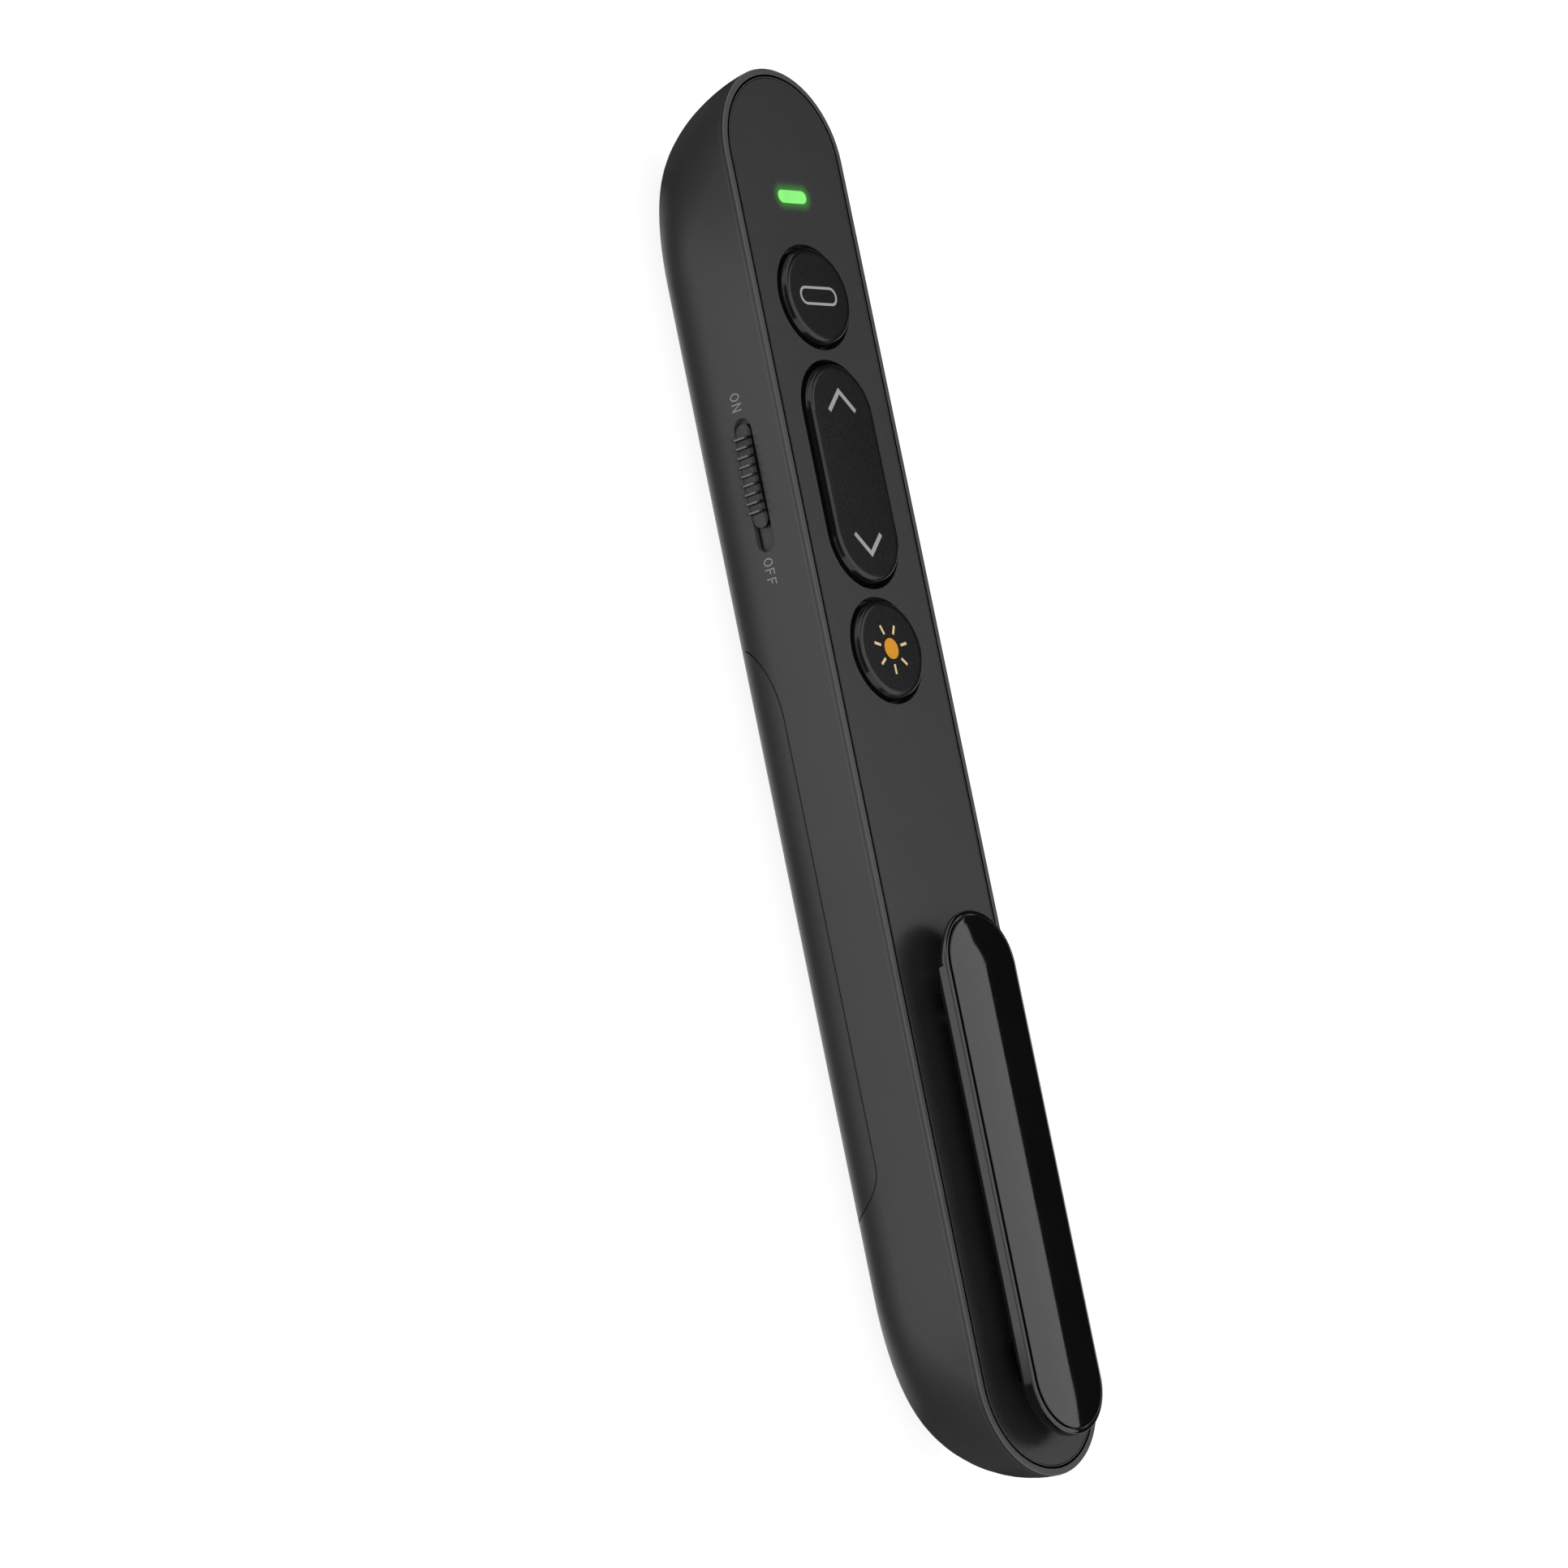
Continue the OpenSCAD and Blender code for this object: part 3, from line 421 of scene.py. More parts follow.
def calculate(tree, operation, *values):
    """Result of a math node; each value is an output or a number."""
    node = tree.nodes.new("ShaderNodeMath")
    node.operation = operation
    for socket, value in zip(node.inputs, values):
        feed(tree, socket, value)
    return node.outputs[0]


def calculate_vector(tree, operation, *values):
    """Result of a vector math node; each value is an output or three numbers."""
    node = tree.nodes.new("ShaderNodeVectorMath")
    node.operation = operation
    for socket, value in zip(node.inputs, values):
        feed(tree, socket, value)
    return node.outputs["Value" if operation == "LENGTH" else "Vector"]


def separate(tree, vector):
    """Outputs X, Y and Z of a vector."""
    split = tree.nodes.new("ShaderNodeSeparateXYZ")
    tree.links.new(vector, split.inputs["Vector"])
    return split.outputs


def noise(tree, place, scale, detail=2.0, rough=0.5, stretch=None):
    """A noise texture in object space; scale is in features per metre."""
    if stretch:
        mapping = tree.nodes.new("ShaderNodeMapping")
        mapping.inputs["Scale"].default_value = stretch
        tree.links.new(place, mapping.inputs["Vector"])
        place = mapping.outputs["Vector"]
    texture = tree.nodes.new("ShaderNodeTexNoise")
    texture.inputs["Scale"].default_value = scale
    texture.inputs["Detail"].default_value = detail
    texture.inputs["Roughness"].default_value = rough
    tree.links.new(place, texture.inputs["Vector"])
    return texture.outputs["Fac"]


def spread(tree, value, low, high, start=0.3, end=0.7, curve="LINEAR"):
    """Maps a value between start and end to the range low to high."""
    ranged = tree.nodes.new("ShaderNodeMapRange")
    ranged.interpolation_type = curve
    ranged.inputs["From Min"].default_value = start
    ranged.inputs["From Max"].default_value = end
    ranged.inputs["To Min"].default_value = low
    ranged.inputs["To Max"].default_value = high
    tree.links.new(value, ranged.inputs["Value"])
    return ranged.outputs["Result"]


def blend_colors(tree, factor, first, second):
    """Mix of two colours, each an output or three numbers."""
    mix = tree.nodes.new("ShaderNodeMix")
    mix.data_type = "RGBA"
    feed(tree, mix.inputs["A"], first)
    feed(tree, mix.inputs["B"], second)
    tree.links.new(factor, mix.inputs["Factor"])
    return mix.outputs["Result"]


def color_ramp(tree, factor, stops, curve="LINEAR"):
    """Colour along the stops, each a position and three numbers."""
    ramp = tree.nodes.new("ShaderNodeValToRGB")
    ramp.color_ramp.interpolation = curve
    while len(ramp.color_ramp.elements) < len(stops):
        ramp.color_ramp.elements.new(1.0)
    for element, (position, color) in zip(ramp.color_ramp.elements, stops):
        element.position = position
        element.color = (*color, 1)
    tree.links.new(factor, ramp.inputs["Fac"])
    return ramp.outputs["Color"]


def grey_ramp(tree, factor, stops):
    """Grey along the stops, each a position and one number."""
    return color_ramp(tree, factor, [(position, (value,) * 3) for position, value in stops])


# ---------------------------------------------------------------- materials
# Features per metre of the slow drift in colour, and height in m of the grain.
DRIFT_SCALE = 130.0
GRAIN_HEIGHT = 0.00001


def surface(name, color, shade, rough, ior=1.5, spec=0.5, metal=0.0,
            grain=5200.0, bump=0.12, stretch=None):
    """Moulded plastic or metal: fine grain in the bump, wider drift in colour and gloss.

    color and shade are the lighter and darker tone, rough the lowest and highest roughness.
    """
    material, tree, shader, place = node_material(name)
    drift = noise(tree, place, DRIFT_SCALE, detail=3.0)
    fine = noise(tree, place, grain, rough=0.6, stretch=stretch)
    tree.links.new(
        blend_colors(tree, spread(tree, drift, 0.0, 1.0), color, shade),
        shader.inputs["Base Color"],
    )
    tree.links.new(spread(tree, fine, rough[0], rough[1]), shader.inputs["Roughness"])
    relief = tree.nodes.new("ShaderNodeBump")
    relief.inputs["Strength"].default_value = bump
    relief.inputs["Distance"].default_value = GRAIN_HEIGHT
    tree.links.new(fine, relief.inputs["Height"])
    tree.links.new(relief.outputs["Normal"], shader.inputs["Normal"])
    shader.inputs["Metallic"].default_value = metal
    shader.inputs["IOR"].default_value = ior
    shader.inputs["Specular IOR Level"].default_value = spec
    return material


def grey(value):
    """Linear grey of an sRGB value from 0 to 255."""
    v = value / 255
    linear = v / 12.92 if v <= 0.04045 else ((v + 0.055) / 1.055) ** 2.4
    return (linear, linear, linear)


M = {}
M["cap"] = surface("cap_plastic", grey(21), grey(19), (0.12, 0.18), spec=0.55, bump=0.04)
M["key"] = surface("key_plastic", grey(38), grey(34), (0.3, 0.4), bump=0.2)
M["clip"] = surface(
    "clip_gloss", grey(14), grey(11), (0.035, 0.06), ior=1.75, bump=0.02, grain=900.0
)
M["steel"] = surface(
    "brushed_steel", (0.56, 0.57, 0.58), (0.46, 0.47, 0.48), (0.22, 0.36), metal=1.0,
    grain=2600.0, stretch=(1.0, 0.08, 1.0), bump=0.15,
)
M["brass"] = surface(
    "turned_brass", (0.62, 0.42, 0.18), (0.52, 0.35, 0.14), (0.2, 0.34), metal=1.0,
    grain=3200.0, stretch=(0.1, 1.0, 0.1), bump=0.15,
)
M["board"] = surface(
    "board_green", (0.012, 0.11, 0.05), (0.009, 0.075, 0.036), (0.3, 0.45), grain=2200.0,
)
M["chip"] = surface("chip_black", grey(34), grey(28), (0.5, 0.65), grain=6500.0, bump=0.3)
M["plunger"] = surface("plunger_nylon", grey(212), grey(200), (0.4, 0.55), bump=0.1)
M["card"] = surface("card_black", grey(12), grey(8), (0.8, 0.9), spec=0.1)
M["inner"] = surface("shell_inside", grey(46), grey(42), (0.5, 0.62), bump=0.3)
M["print"] = surface("print_grey", grey(160), grey(152), (0.5, 0.62), spec=0.2, bump=0.2)
M["print_side"] = surface("print_side", grey(200), grey(190), (0.5, 0.62), spec=0.2, bump=0.2)
M["print_pale"] = surface(
    "print_pale", (0.72, 0.58, 0.32), (0.66, 0.52, 0.28), (0.5, 0.62), spec=0.2
)
M["print_orange"] = surface(
    "print_orange", (0.7, 0.3, 0.025), (0.65, 0.27, 0.02), (0.5, 0.62), spec=0.2
)


# Painted light and shade along the rim: half of what the housing's tone is multiplied by, at
# depths below the front in mm; the lighter bands are painted highlight lines, the darker ones
# painted shade.
RIM_PAINTED_LIGHT = [
    (0.0, 0.36), (0.012, 0.36), (0.03, 0.66), (0.1, 0.66), (0.18, 0.36), (0.4, 0.36),
    (0.48, 0.66), (0.6, 0.66), (0.7, 0.5),
]


def housing_material():
    """Satin plastic with two thin painted highlight lines along its rim edge, and bands of
    painted shade beside them.
    """
    material = surface(
        "housing_plastic", grey(82), grey(79), (0.32, 0.42), spec=0.42, bump=0.2
    )
    tree, shader, coords = shader_parts(material)
    height = separate(tree, coords["Object"])["Z"]
    under = spread(tree, height, 0.0, 1.0, FRONT * MM, (FRONT - 1) * MM)
    # Painted highlight lines and painted shade bands, multiplied into the housing's colour.
    painted_light_tone = calculate_vector(tree, "MULTIPLY", grey_ramp(tree, under, RIM_PAINTED_LIGHT), (2, 2, 2))
    plain = shader.inputs["Base Color"].links[0].from_socket
    painted_rim_color = calculate_vector(tree, "MULTIPLY", painted_light_tone, plain)
    tree.links.new(painted_rim_color, shader.inputs["Base Color"])
    return material


M["housing"] = housing_material()


# ---------------------------------------------------------------- body form
def end_inset(t):
    """Share of an end's rake that is reached at the share t of the depth."""
    return 1 - (1 - min(1.0, t) ** END_POWER) ** (1 / END_POWER)


def form_half(s, w, deep):
    """Half width at the depth s of a body that is w half wide and closes at the depth deep."""
    share = max(0.0, (s - SIDE_STRAIGHT) / (deep - SIDE_STRAIGHT))
    return w * (1 - share ** SIDE_POWER) ** (1 / SIDE_POWER)


def form_ring(s, inset, deep, z=None):
    """Section of the body at the depth s below the front, inset all round.

    The body closes at the depth deep; z puts the ring at another height.
    """
    t = s / FORM_DEPTH
    w = form_half(s, HALF_WIDTH - inset, deep)
    ry = w * (1 + END_STRETCH * t)
    y1 = HALF_LENGTH - inset - TOP_RAKE * end_inset(t) - ry
    y2 = -HALF_LENGTH + inset + BOTTOM_RAKE * end_inset(t) + ry
    level = FRONT - s if z is None else z
    return [
        (side * w * cos, y + side * ry * sin, level)
        for side, y in ((1, y1), (-1, y2))
        for cos, sin in half_circle(FORM_STEPS)
    ]


def form_depths(last):
    """Depths of the sections below the edge round, closer together towards the back."""
    lower = []
    for i in range(1, LOWER_SECTIONS + 1):
        share = 1 - (1 - i / LOWER_SECTIONS) ** LOWER_CROWDING
        lower.append(SIDE_STRAIGHT + (last - SIDE_STRAIGHT) * share)
    return STRAIGHT_DEPTHS + lower


def outer_form():
    rings = [form_ring(s, inset, FORM_DEPTH) for s, inset in RIM_EDGE]
    rings += [form_ring(s, 0, FORM_DEPTH) for s in form_depths(BODY_DEPTH)]
    return loft(rings)


def inner_form(inset, top=1.0):
    """The body's inside at the wall thickness inset, up to top over the front."""
    deep = FORM_DEPTH - inset
    rings = [form_ring(0, inset, deep, z=FRONT + top)]
    rings += [form_ring(s, inset, deep) for s in form_depths(BODY_DEPTH - inset)]
    return loft(rings)


def door_prism(gap):
    """Prism along X behind the door's seam, drawn in by the gap."""
    height = SEAM_Z + 0.01 - gap
    curves = []
    for way, seam, reach, power in DOOR_ENDS:
        curve = []
        for i in range(DOOR_STEPS + 1):
            a = math.pi / 2 * i / DOOR_STEPS
            cos = max(0.0, math.cos(a))
            curve.append((seam + way * (reach - gap) * math.sin(a), height * cos ** power))
        curves.append(curve)
    top, bottom = curves
    outline = [(top[-1][0], DOOR_FLOOR), (bottom[-1][0], DOOR_FLOOR)] + bottom[::-1] + top
    return loft([[(x, y, z) for y, z in outline] for x in (-CUT_OUT, CUT_OUT)])


def door_end_lip(way, seam, reach, power):
    """Fills most of the slit across the back at one end of the door, inside its wall."""
    outline = []
    for z in END_LIP_Z:
        share = z / (SEAM_Z - END_LIP_GAP)
        sin = math.sqrt(1 - share ** (2 / power))
        outline.append((seam + way * (reach - END_LIP_GAP) * sin, z))
    inward = outline[0][0] - way * END_LIP_THICKNESS
    outline += [(inward, END_LIP_Z[-1]), (inward, END_LIP_Z[0])]
    return loft([[(x, y, z) for y, z in outline] for x in (-END_LIP_HALF, END_LIP_HALF)])


def recess(inset, low):
    """The space of the front plate, inset from the body's outline, from the height low up."""
    return loft([
        stadium_ring(0, BODY_LENGTH - 2 * inset, HALF_WIDTH - inset, z, steps=32)
        for z in (low, FRONT + OVERCUT)
    ])


def side_slot(x1, x2, y, length, width):
    """A slot-shaped prism along X on the side line, tighter than its CAD opening."""
    r = (width - TIGHT) / 2
    straight = (length - TIGHT - (width - TIGHT)) / 2
    return loft([side_ring(x, y, straight, r, steps=16) for x in (x1, x2)])


def rod_y(y1, y2, z, r, steps=48):
    """A rod along Y on the middle plane."""
    return loft([
        [(r * cos, y, z + r * sin) for cos, sin in circle(steps)]
        for y in (y1, y2)
    ])


def housing():
    skin = new_object("housing_skin", outer_form())
    boolean(skin, inner_form(SKIN_WALL))
    boolean(skin, recess(RIM_WIDTH + PLATE_GAP, PLATE_UNDER + TIGHT))
    boolean(skin, door_prism(TIGHT))
    boolean(skin, side_slot(-CUT_OUT, -CUT_IN, SLOT_Y, SLOT_LENGTH, SLOT_WIDTH))
    boolean(skin, side_slot(CUT_IN, CUT_OUT, KEY_Y, *KEY_SLOT))
    boolean(skin, rod_y(*BORE_Y, BARREL_Z, APERTURE_RADIUS - TIGHT))
    soften(skin, ROUND["housing"])
    finish_piece(skin, "housing", M["housing"], ["rear_shell"])
    core = copy_of("rear_shell", "housing_ribs")
    boolean(core, inner_form(RIBS_INSET, 0.0), "INTERSECT")
    soften(core, 0)
    finish_piece(core, "housing", M["inner"], ["rear_shell"])


def door():
    skin = new_object("battery_door_skin", outer_form())
    boolean(skin, door_prism(DOOR_GAP), "INTERSECT")
    boolean(skin, inner_form(DOOR_WALL))
    tabs = []
    for side in (-1, 1):
        x = side * TAB_X
        for y in TAB_Y:
            tabs.append(box_mesh(
                (x - TAB_HALF[0], y - TAB_HALF[1], TAB_Z[0]),
                (x + TAB_HALF[0], y + TAB_HALF[1], TAB_Z[1]),
            ))
        # A low lip behind the seam, so that no light shows through it.
        x = side * SIDE_LIP_X
        tabs.append(box_mesh(
            (x - SIDE_LIP_HALF, SIDE_LIP_Y[0], SIDE_LIP_Z[0]),
            (x + SIDE_LIP_HALF, SIDE_LIP_Y[1], SIDE_LIP_Z[1]),
        ))
    for end in DOOR_ENDS:
        tabs.append(door_end_lip(*end))
    for tab in tabs:
        boolean(skin, tab, "UNION")
    soften(skin, ROUND["door"])
    finish_piece(skin, "door", M["housing"], ["battery_door"])


# ---------------------------------------------------------------- front plate and caps
def plate_material():
    """Plate plastic with a painted green glow: the plate itself emits round the lamp's window.
    """
    material = surface("plate_plastic", grey(38), grey(36), (0.27, 0.33), spec=0.8, bump=0.07)
    tree, shader, coords = shader_parts(material)
    lamp = (0, LAMP_Y * MM, FRONT * MM)
    shift = calculate_vector(tree, "SUBTRACT", coords["Object"], lamp)
    whole = calculate_vector(tree, "ABSOLUTE", shift)
    past = calculate_vector(tree, "SUBTRACT", whole, (LAMP_STRAIGHT * MM, 0, 0))
    above = calculate_vector(tree, "MAXIMUM", past, (0, 0, 0))
    far = calculate_vector(tree, "LENGTH", above)
    near, end = LAMP_GLOW
    # Painted glow: emission of the plate near the lamp's window, fading outward.
    glow = spread(tree, far, 0.2, 0.0, near * MM, end * MM, "SMOOTHERSTEP")
    feed(tree, shader.inputs["Emission Color"], (0.08, 0.9, 0.06))
    feed(tree, shader.inputs["Emission Strength"], glow)
    return material


def front_plate():
    plate = copy_of("front_plate", "front_plate_skin")
    soften(plate, ROUND["plate"])
    finish_piece(plate, "housing", plate_material(), ["front_plate"])


def cap_rings(y, length, r, low):
    """Rings of a cap from its skirt over a steep chamfer and a small round to its flat top."""
    layers = [(0.0, low)]
    layers += [(d, CAP_TOP - under) for d, under in CAP_EDGE]
    if length:
        return [stadium_ring(y, length - 2 * d, r - d, z, steps=32) for d, z in layers]
    return [disc_ring(y, r - d, z) for d, z in layers]


def round_button(name, node, y, body):
    cap = loft(cap_rings(y, 0, CAP_RADIUS, PLATE_UNDER - CAP_SKIRT))
    flange = loft([disc_ring(y, FLANGE_RADIUS, z) for z in FLANGE_Z])
    stem_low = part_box(node)[0].z / MM
    stem = loft([disc_ring(y, STEM_RADIUS, z, steps=40) for z in (stem_low, STEM_TOP)])
    button = new_object(name, joined([cap, flange, stem]))
    soften(button, ROUND["cap"])
    finish_piece(button, body, M["cap"], [node])


def rocker():
    lo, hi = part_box("page_rocker")
    cap = loft(cap_rings(ROCKER_Y, ROCKER_LENGTH, CAP_RADIUS, ROCKER_UNDER))
    axle = loft([
        [(x, ROCKER_Y + ROCKER_AXLE_RADIUS * cos, ROCKER_AXLE_Z + ROCKER_AXLE_RADIUS * sin)
         for cos, sin in circle(AXLE_STEPS)]
        for x in (lo.x / MM, hi.x / MM)
    ])
    half = CAP_RADIUS - ROCKER_WEB_INSET
    web = box_mesh(
        (-half, ROCKER_Y - ROCKER_WEB_HALF, ROCKER_AXLE_Z - ROCKER_WEB_INSET),
        (half, ROCKER_Y + ROCKER_WEB_HALF, ROCKER_WEB_TOP),
    )
    piece = new_object("page_rocker_cap", joined([cap, axle, web]))
    soften(piece, ROUND["cap"])
    finish_piece(piece, "page_key", M["cap"], ["page_rocker"])


# ---------------------------------------------------------------- clip
def clip():
    """Glossy pillow on a foot, with the lead-in and relief under its two ends."""
    layers = [(0.0, CLIP_UNDER)]
    layers += [(d, CLIP_SHOULDER - under) for d, under in CLIP_EDGE]
    inset, height = layers[-1]
    for i in range(1, PILLOW_STEPS + 1):
        d = inset + (PILLOW_INSET - inset) * i / PILLOW_STEPS
        share = (CLIP_HALF - d) / (CLIP_HALF - inset)
        layers.append((d, CLIP_TOP - (CLIP_TOP - height) * share ** 2.0))
    rings = [
        stadium_ring(CLIP_Y, CLIP_LENGTH - 2 * d, CLIP_HALF - d, z, steps=40)
        for d, z in layers
    ]
    body = new_object("pocket_clip_body", loft(rings))
    tip = CLIP_Y + CLIP_LENGTH / 2
    end = CLIP_Y - CLIP_LENGTH / 2
    for place, outline in ((tip, CLIP_LEAD_IN), (end, CLIP_RELIEF)):
        boolean(body, loft([
            [(x, place + y, CLIP_UNDER + z) for y, z in outline] for x in (-CLIP_CUT, CLIP_CUT)
        ]))
    foot = copy_of("clip", "foot")
    low, high = FOOT_CUT_Y
    boolean(foot, box_mesh((-CLIP_CUT, low, FOOT_TOP), (CLIP_CUT, high, FOOT_CUT_TOP)))
    boolean(foot, box_mesh((-CLIP_CUT, low, 0), (-FOOT_HALF, high, FOOT_CUT_TOP)))
    boolean(foot, box_mesh((FOOT_HALF, low, 0), (CLIP_CUT, high, FOOT_CUT_TOP)))
    bm = bmesh.new()
    bm.from_mesh(body.data)
    bm.from_mesh(foot.data)
    bm.to_mesh(body.data)
    bm.free()
    bpy.data.objects.remove(foot)
    soften(body, ROUND["clip"])
    finish_piece(body, "pocket_clip", M["clip"], ["clip"])


# ---------------------------------------------------------------- side key
def side_key():
    shoulder = KEY_OUT - KEY_ROUND
    layers = [(0.0, KEY_IN), (0.0, shoulder)]
    for i in range(1, KEY_ROUND_STEPS + 1):
        a = math.pi / 2 * i / KEY_ROUND_STEPS
        layers.append((KEY_ROUND * (1 - math.cos(a)), shoulder + KEY_ROUND * math.sin(a)))
    straight = KEY_LENGTH / 2 - KEY_WIDTH / 2
    cap = loft([
        side_ring(x, KEY_Y, straight, KEY_WIDTH / 2 - d, steps=20) for d, x in layers
    ])
    half_y, half_z = KEY_WEB_HALF
    web = box_mesh(
        (KEY_WEB_X[0], KEY_Y - half_y, SIDE_Z - half_z),
        (KEY_WEB_X[1], KEY_Y + half_y, SIDE_Z + half_z),
    )
    axle = loft([
        [(KEY_AXLE_X + KEY_AXLE_RADIUS * cos, KEY_Y + KEY_AXLE_RADIUS * sin, z)
         for cos, sin in circle(AXLE_STEPS)]
        for z in (SIDE_Z - KEY_AXLE_HALF, SIDE_Z + KEY_AXLE_HALF)
    ])
    key = new_object("volume_key_cap", joined([cap, web, axle]))
    soften(key, ROUND["key"])
    finish_piece(key, "volume_key", M["key"], ["side_key"])


# ---------------------------------------------------------------- printed marks
def stroke(points, width, closed=False):
    """A flat band of the given width along a line, as quads in the plane (u, v)."""
    count = len(points)
    left, right = [], []
    for i, (u, v) in enumerate(points):
        if closed:
            before, after = points[i - 1], points[(i + 1) % count]
        else:
            before, after = points[max(0, i - 1)], points[min(count - 1, i + 1)]
        first = Vector((u - before[0], v - before[1]))
        second = Vector((after[0] - u, after[1] - v))
        if first.length < SHORTEST:
            first = second
        if second.length < SHORTEST:
            second = first
        first.normalize()
        second.normalize()
        mean = (first + second).normalized()
        reach = width / 2 / max(LEAST_BEND, mean.dot(first))
        normal = Vector((-mean.y, mean.x)) * reach
        left.append((u + normal.x, v + normal.y))
        right.append((u - normal.x, v - normal.y))
    return left, right, closed


def band(strokes, place, low, high):
    """Thin solid of one or more strokes; place maps (u, v, h) to the frame."""
    parts = []
    for left, right, closed in strokes:
        count = len(left)
        verts = []
        for h in (low, high):
            verts += [place(u, v, h) for u, v in left]
            verts += [place(u, v, h) for u, v in right]
        faces = []
        a, b, c, d = 0, count, 2 * count, 3 * count
        for i in range(count if closed else count - 1):
            m = (i + 1) % count
            faces.append((c + i, c + m, d + m, d + i))
            faces.append((a + i, b + i, b + m, a + m))
            faces.append((a + i, a + m, c + m, c + i))
            faces.append((b + i, d + i, d + m, b + m))
        if not closed:
            e = count - 1
            faces.append((a, c, d, b))
            faces.append((a + e, b + e, d + e, c + e))
        parts.append((verts, faces))
    return joined(parts)


def printed(name, data, body, material):
    piece = new_object(name, data)
    soften(piece, 0)
    finish_piece(piece, body, material)


def on_cap(u, v, h):
    return (u, v, CAP_TOP + h)


def on_side(y):
    """Maps text (u along the reading direction, v up) to the switch side of the housing."""
    return lambda u, v, h: (-HALF_WIDTH - h, y - u, WORD_LINE + v)


def oval(u, v, a, b):
    return [(u + a * cos, v + b * sin) for cos, sin in circle(OVAL_STEPS)]


def pill(u, v, length, height, steps=14):
    r = height / 2
    points = []
    for side in (1, -1):
        for i in range(steps + 1):
            a = -math.pi / 2 + math.pi * i / steps
            points.append((
                u + side * (length / 2 - r + r * math.cos(a)), v + side * r * math.sin(a)
            ))
    return points


# Width of each letter, and its lines with whether they are closed.
LETTERS = {
    "O": (0.86, [(oval(0.43, 0, 0.36, 0.53), True)]),
    "N": (0.86, [([(0.1, -0.6), (0.1, 0.6), (0.76, -0.6), (0.76, 0.6)], False)]),
    "F": (0.76, [
        ([(0.1, -0.6), (0.1, 0.53), (0.7, 0.53)], False),
        ([(0.1, 0.02), (0.6, 0.02)], False),
    ]),
}


def word_strokes(word):
    """Strokes of a word round u = 0."""
    total = sum(LETTERS[c][0] for c in word) + LETTER_GAP * (len(word) - 1)
    strokes = []
    u = -total / 2
    for c in word:
        width, lines = LETTERS[c]
        for points, closed in lines:
            strokes.append(stroke([(u + p, v) for p, v in points], WORD_STROKE, closed))
        u += width + LETTER_GAP
    return strokes


def marks():
    outline = stroke(pill(*SCREEN_MARK), SCREEN_STROKE, True)
    printed("screen_mark", band([outline], on_cap, *MARK_LAYER), "screen_key", M["print"])
    chevrons = []
    for side in (1, -1):
        apex = ROCKER_Y + side * CHEVRON_APEX
        ends = apex - side * CHEVRON_ARM
        chevrons.append(stroke(
            [(-CHEVRON_ARM, ends), (0, apex), (CHEVRON_ARM, ends)], CHEVRON_STROKE
        ))
    printed("page_marks", band(chevrons, on_cap, *MARK_LAYER), "page_key", M["print"])
    rays = []
    for i in range(RAY_COUNT):
        a = math.radians(-90 + 360 * i / RAY_COUNT)
        rays.append(stroke(
            [(r * math.cos(a), LASER_Y + r * math.sin(a)) for r in RAY_SPAN], RAY_STROKE
        ))
    printed("laser_rays", band(rays, on_cap, *MARK_LAYER), "laser_key", M["print_pale"])
    disc = loft([disc_ring(LASER_Y, DISC_RADIUS, CAP_TOP + h, steps=40) for h in MARK_LAYER])
    printed("laser_disc", disc, "laser_key", M["print_orange"])
    for name, word, y in WORDS:
        strokes = word_strokes(word)
        printed(name, band(strokes, on_side(y), *MARK_LAYER), "housing", M["print_side"])


# ---------------------------------------------------------------- lamp, lens, cell and knob
# Two tones each of the lamp's window, of its light and of the laser's window.
LAMP_TONES = ((0.03, 0.09, 0.03), (0.04, 0.12, 0.04))
LAMP_LIGHT = ((0.2, 0.78, 0.15), (0.25, 0.84, 0.19))
LENS_TONES = ((0.5, 0.03, 0.02), (0.42, 0.02, 0.015))


def lamp_material():
    material, tree, shader, place = node_material("lamp_glow")
    fine = noise(tree, place, 900.0)
    share = spread(tree, fine, 0, 1)
    tree.links.new(blend_colors(tree, share, *LAMP_TONES), shader.inputs["Base Color"])
    tree.links.new(blend_colors(tree, share, *LAMP_LIGHT), shader.inputs["Emission Color"])
    shader.inputs["Emission Strength"].default_value = 1.0
    shader.inputs["Roughness"].default_value = 0.3
    return material


def lens_material():
    material, tree, shader, place = node_material("laser_glass")
    fine = noise(tree, place, 700.0)
    share = spread(tree, fine, 0, 1)
    tree.links.new(blend_colors(tree, share, *LENS_TONES), shader.inputs["Base Color"])
    shader.inputs["Roughness"].default_value = 0.05
    shader.inputs["Transmission Weight"].default_value = 0.6
    return material


# Sleeve of the cell from its minus to its plus end.
CELL_BANDS = [
    (0.0, (0.5, 0.5, 0.5)), (0.02, (0.035, 0.038, 0.042)), (0.66, (0.5, 0.5, 0.48)),
    (0.68, (0.62, 0.27, 0.08)), (0.975, (0.5, 0.5, 0.5)),
]


def cell_material():
    """Sleeve of the cell: dark body, a pale band and a warm end at its plus side."""
    material, tree, shader, place = node_material("cell_sleeve")
    lo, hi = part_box("battery_cell")
    along = spread(tree, separate(tree, place)["Y"], 0.0, 1.0, lo.y, hi.y)
    sleeve = color_ramp(tree, along, CELL_BANDS, "CONSTANT")
    tree.links.new(sleeve, shader.inputs["Base Color"])
    fine = noise(tree, place, 1500.0)
    tree.links.new(spread(tree, fine, 0.22, 0.34), shader.inputs["Roughness"])
    shader.inputs["Metallic"].default_value = 0.25
    return material


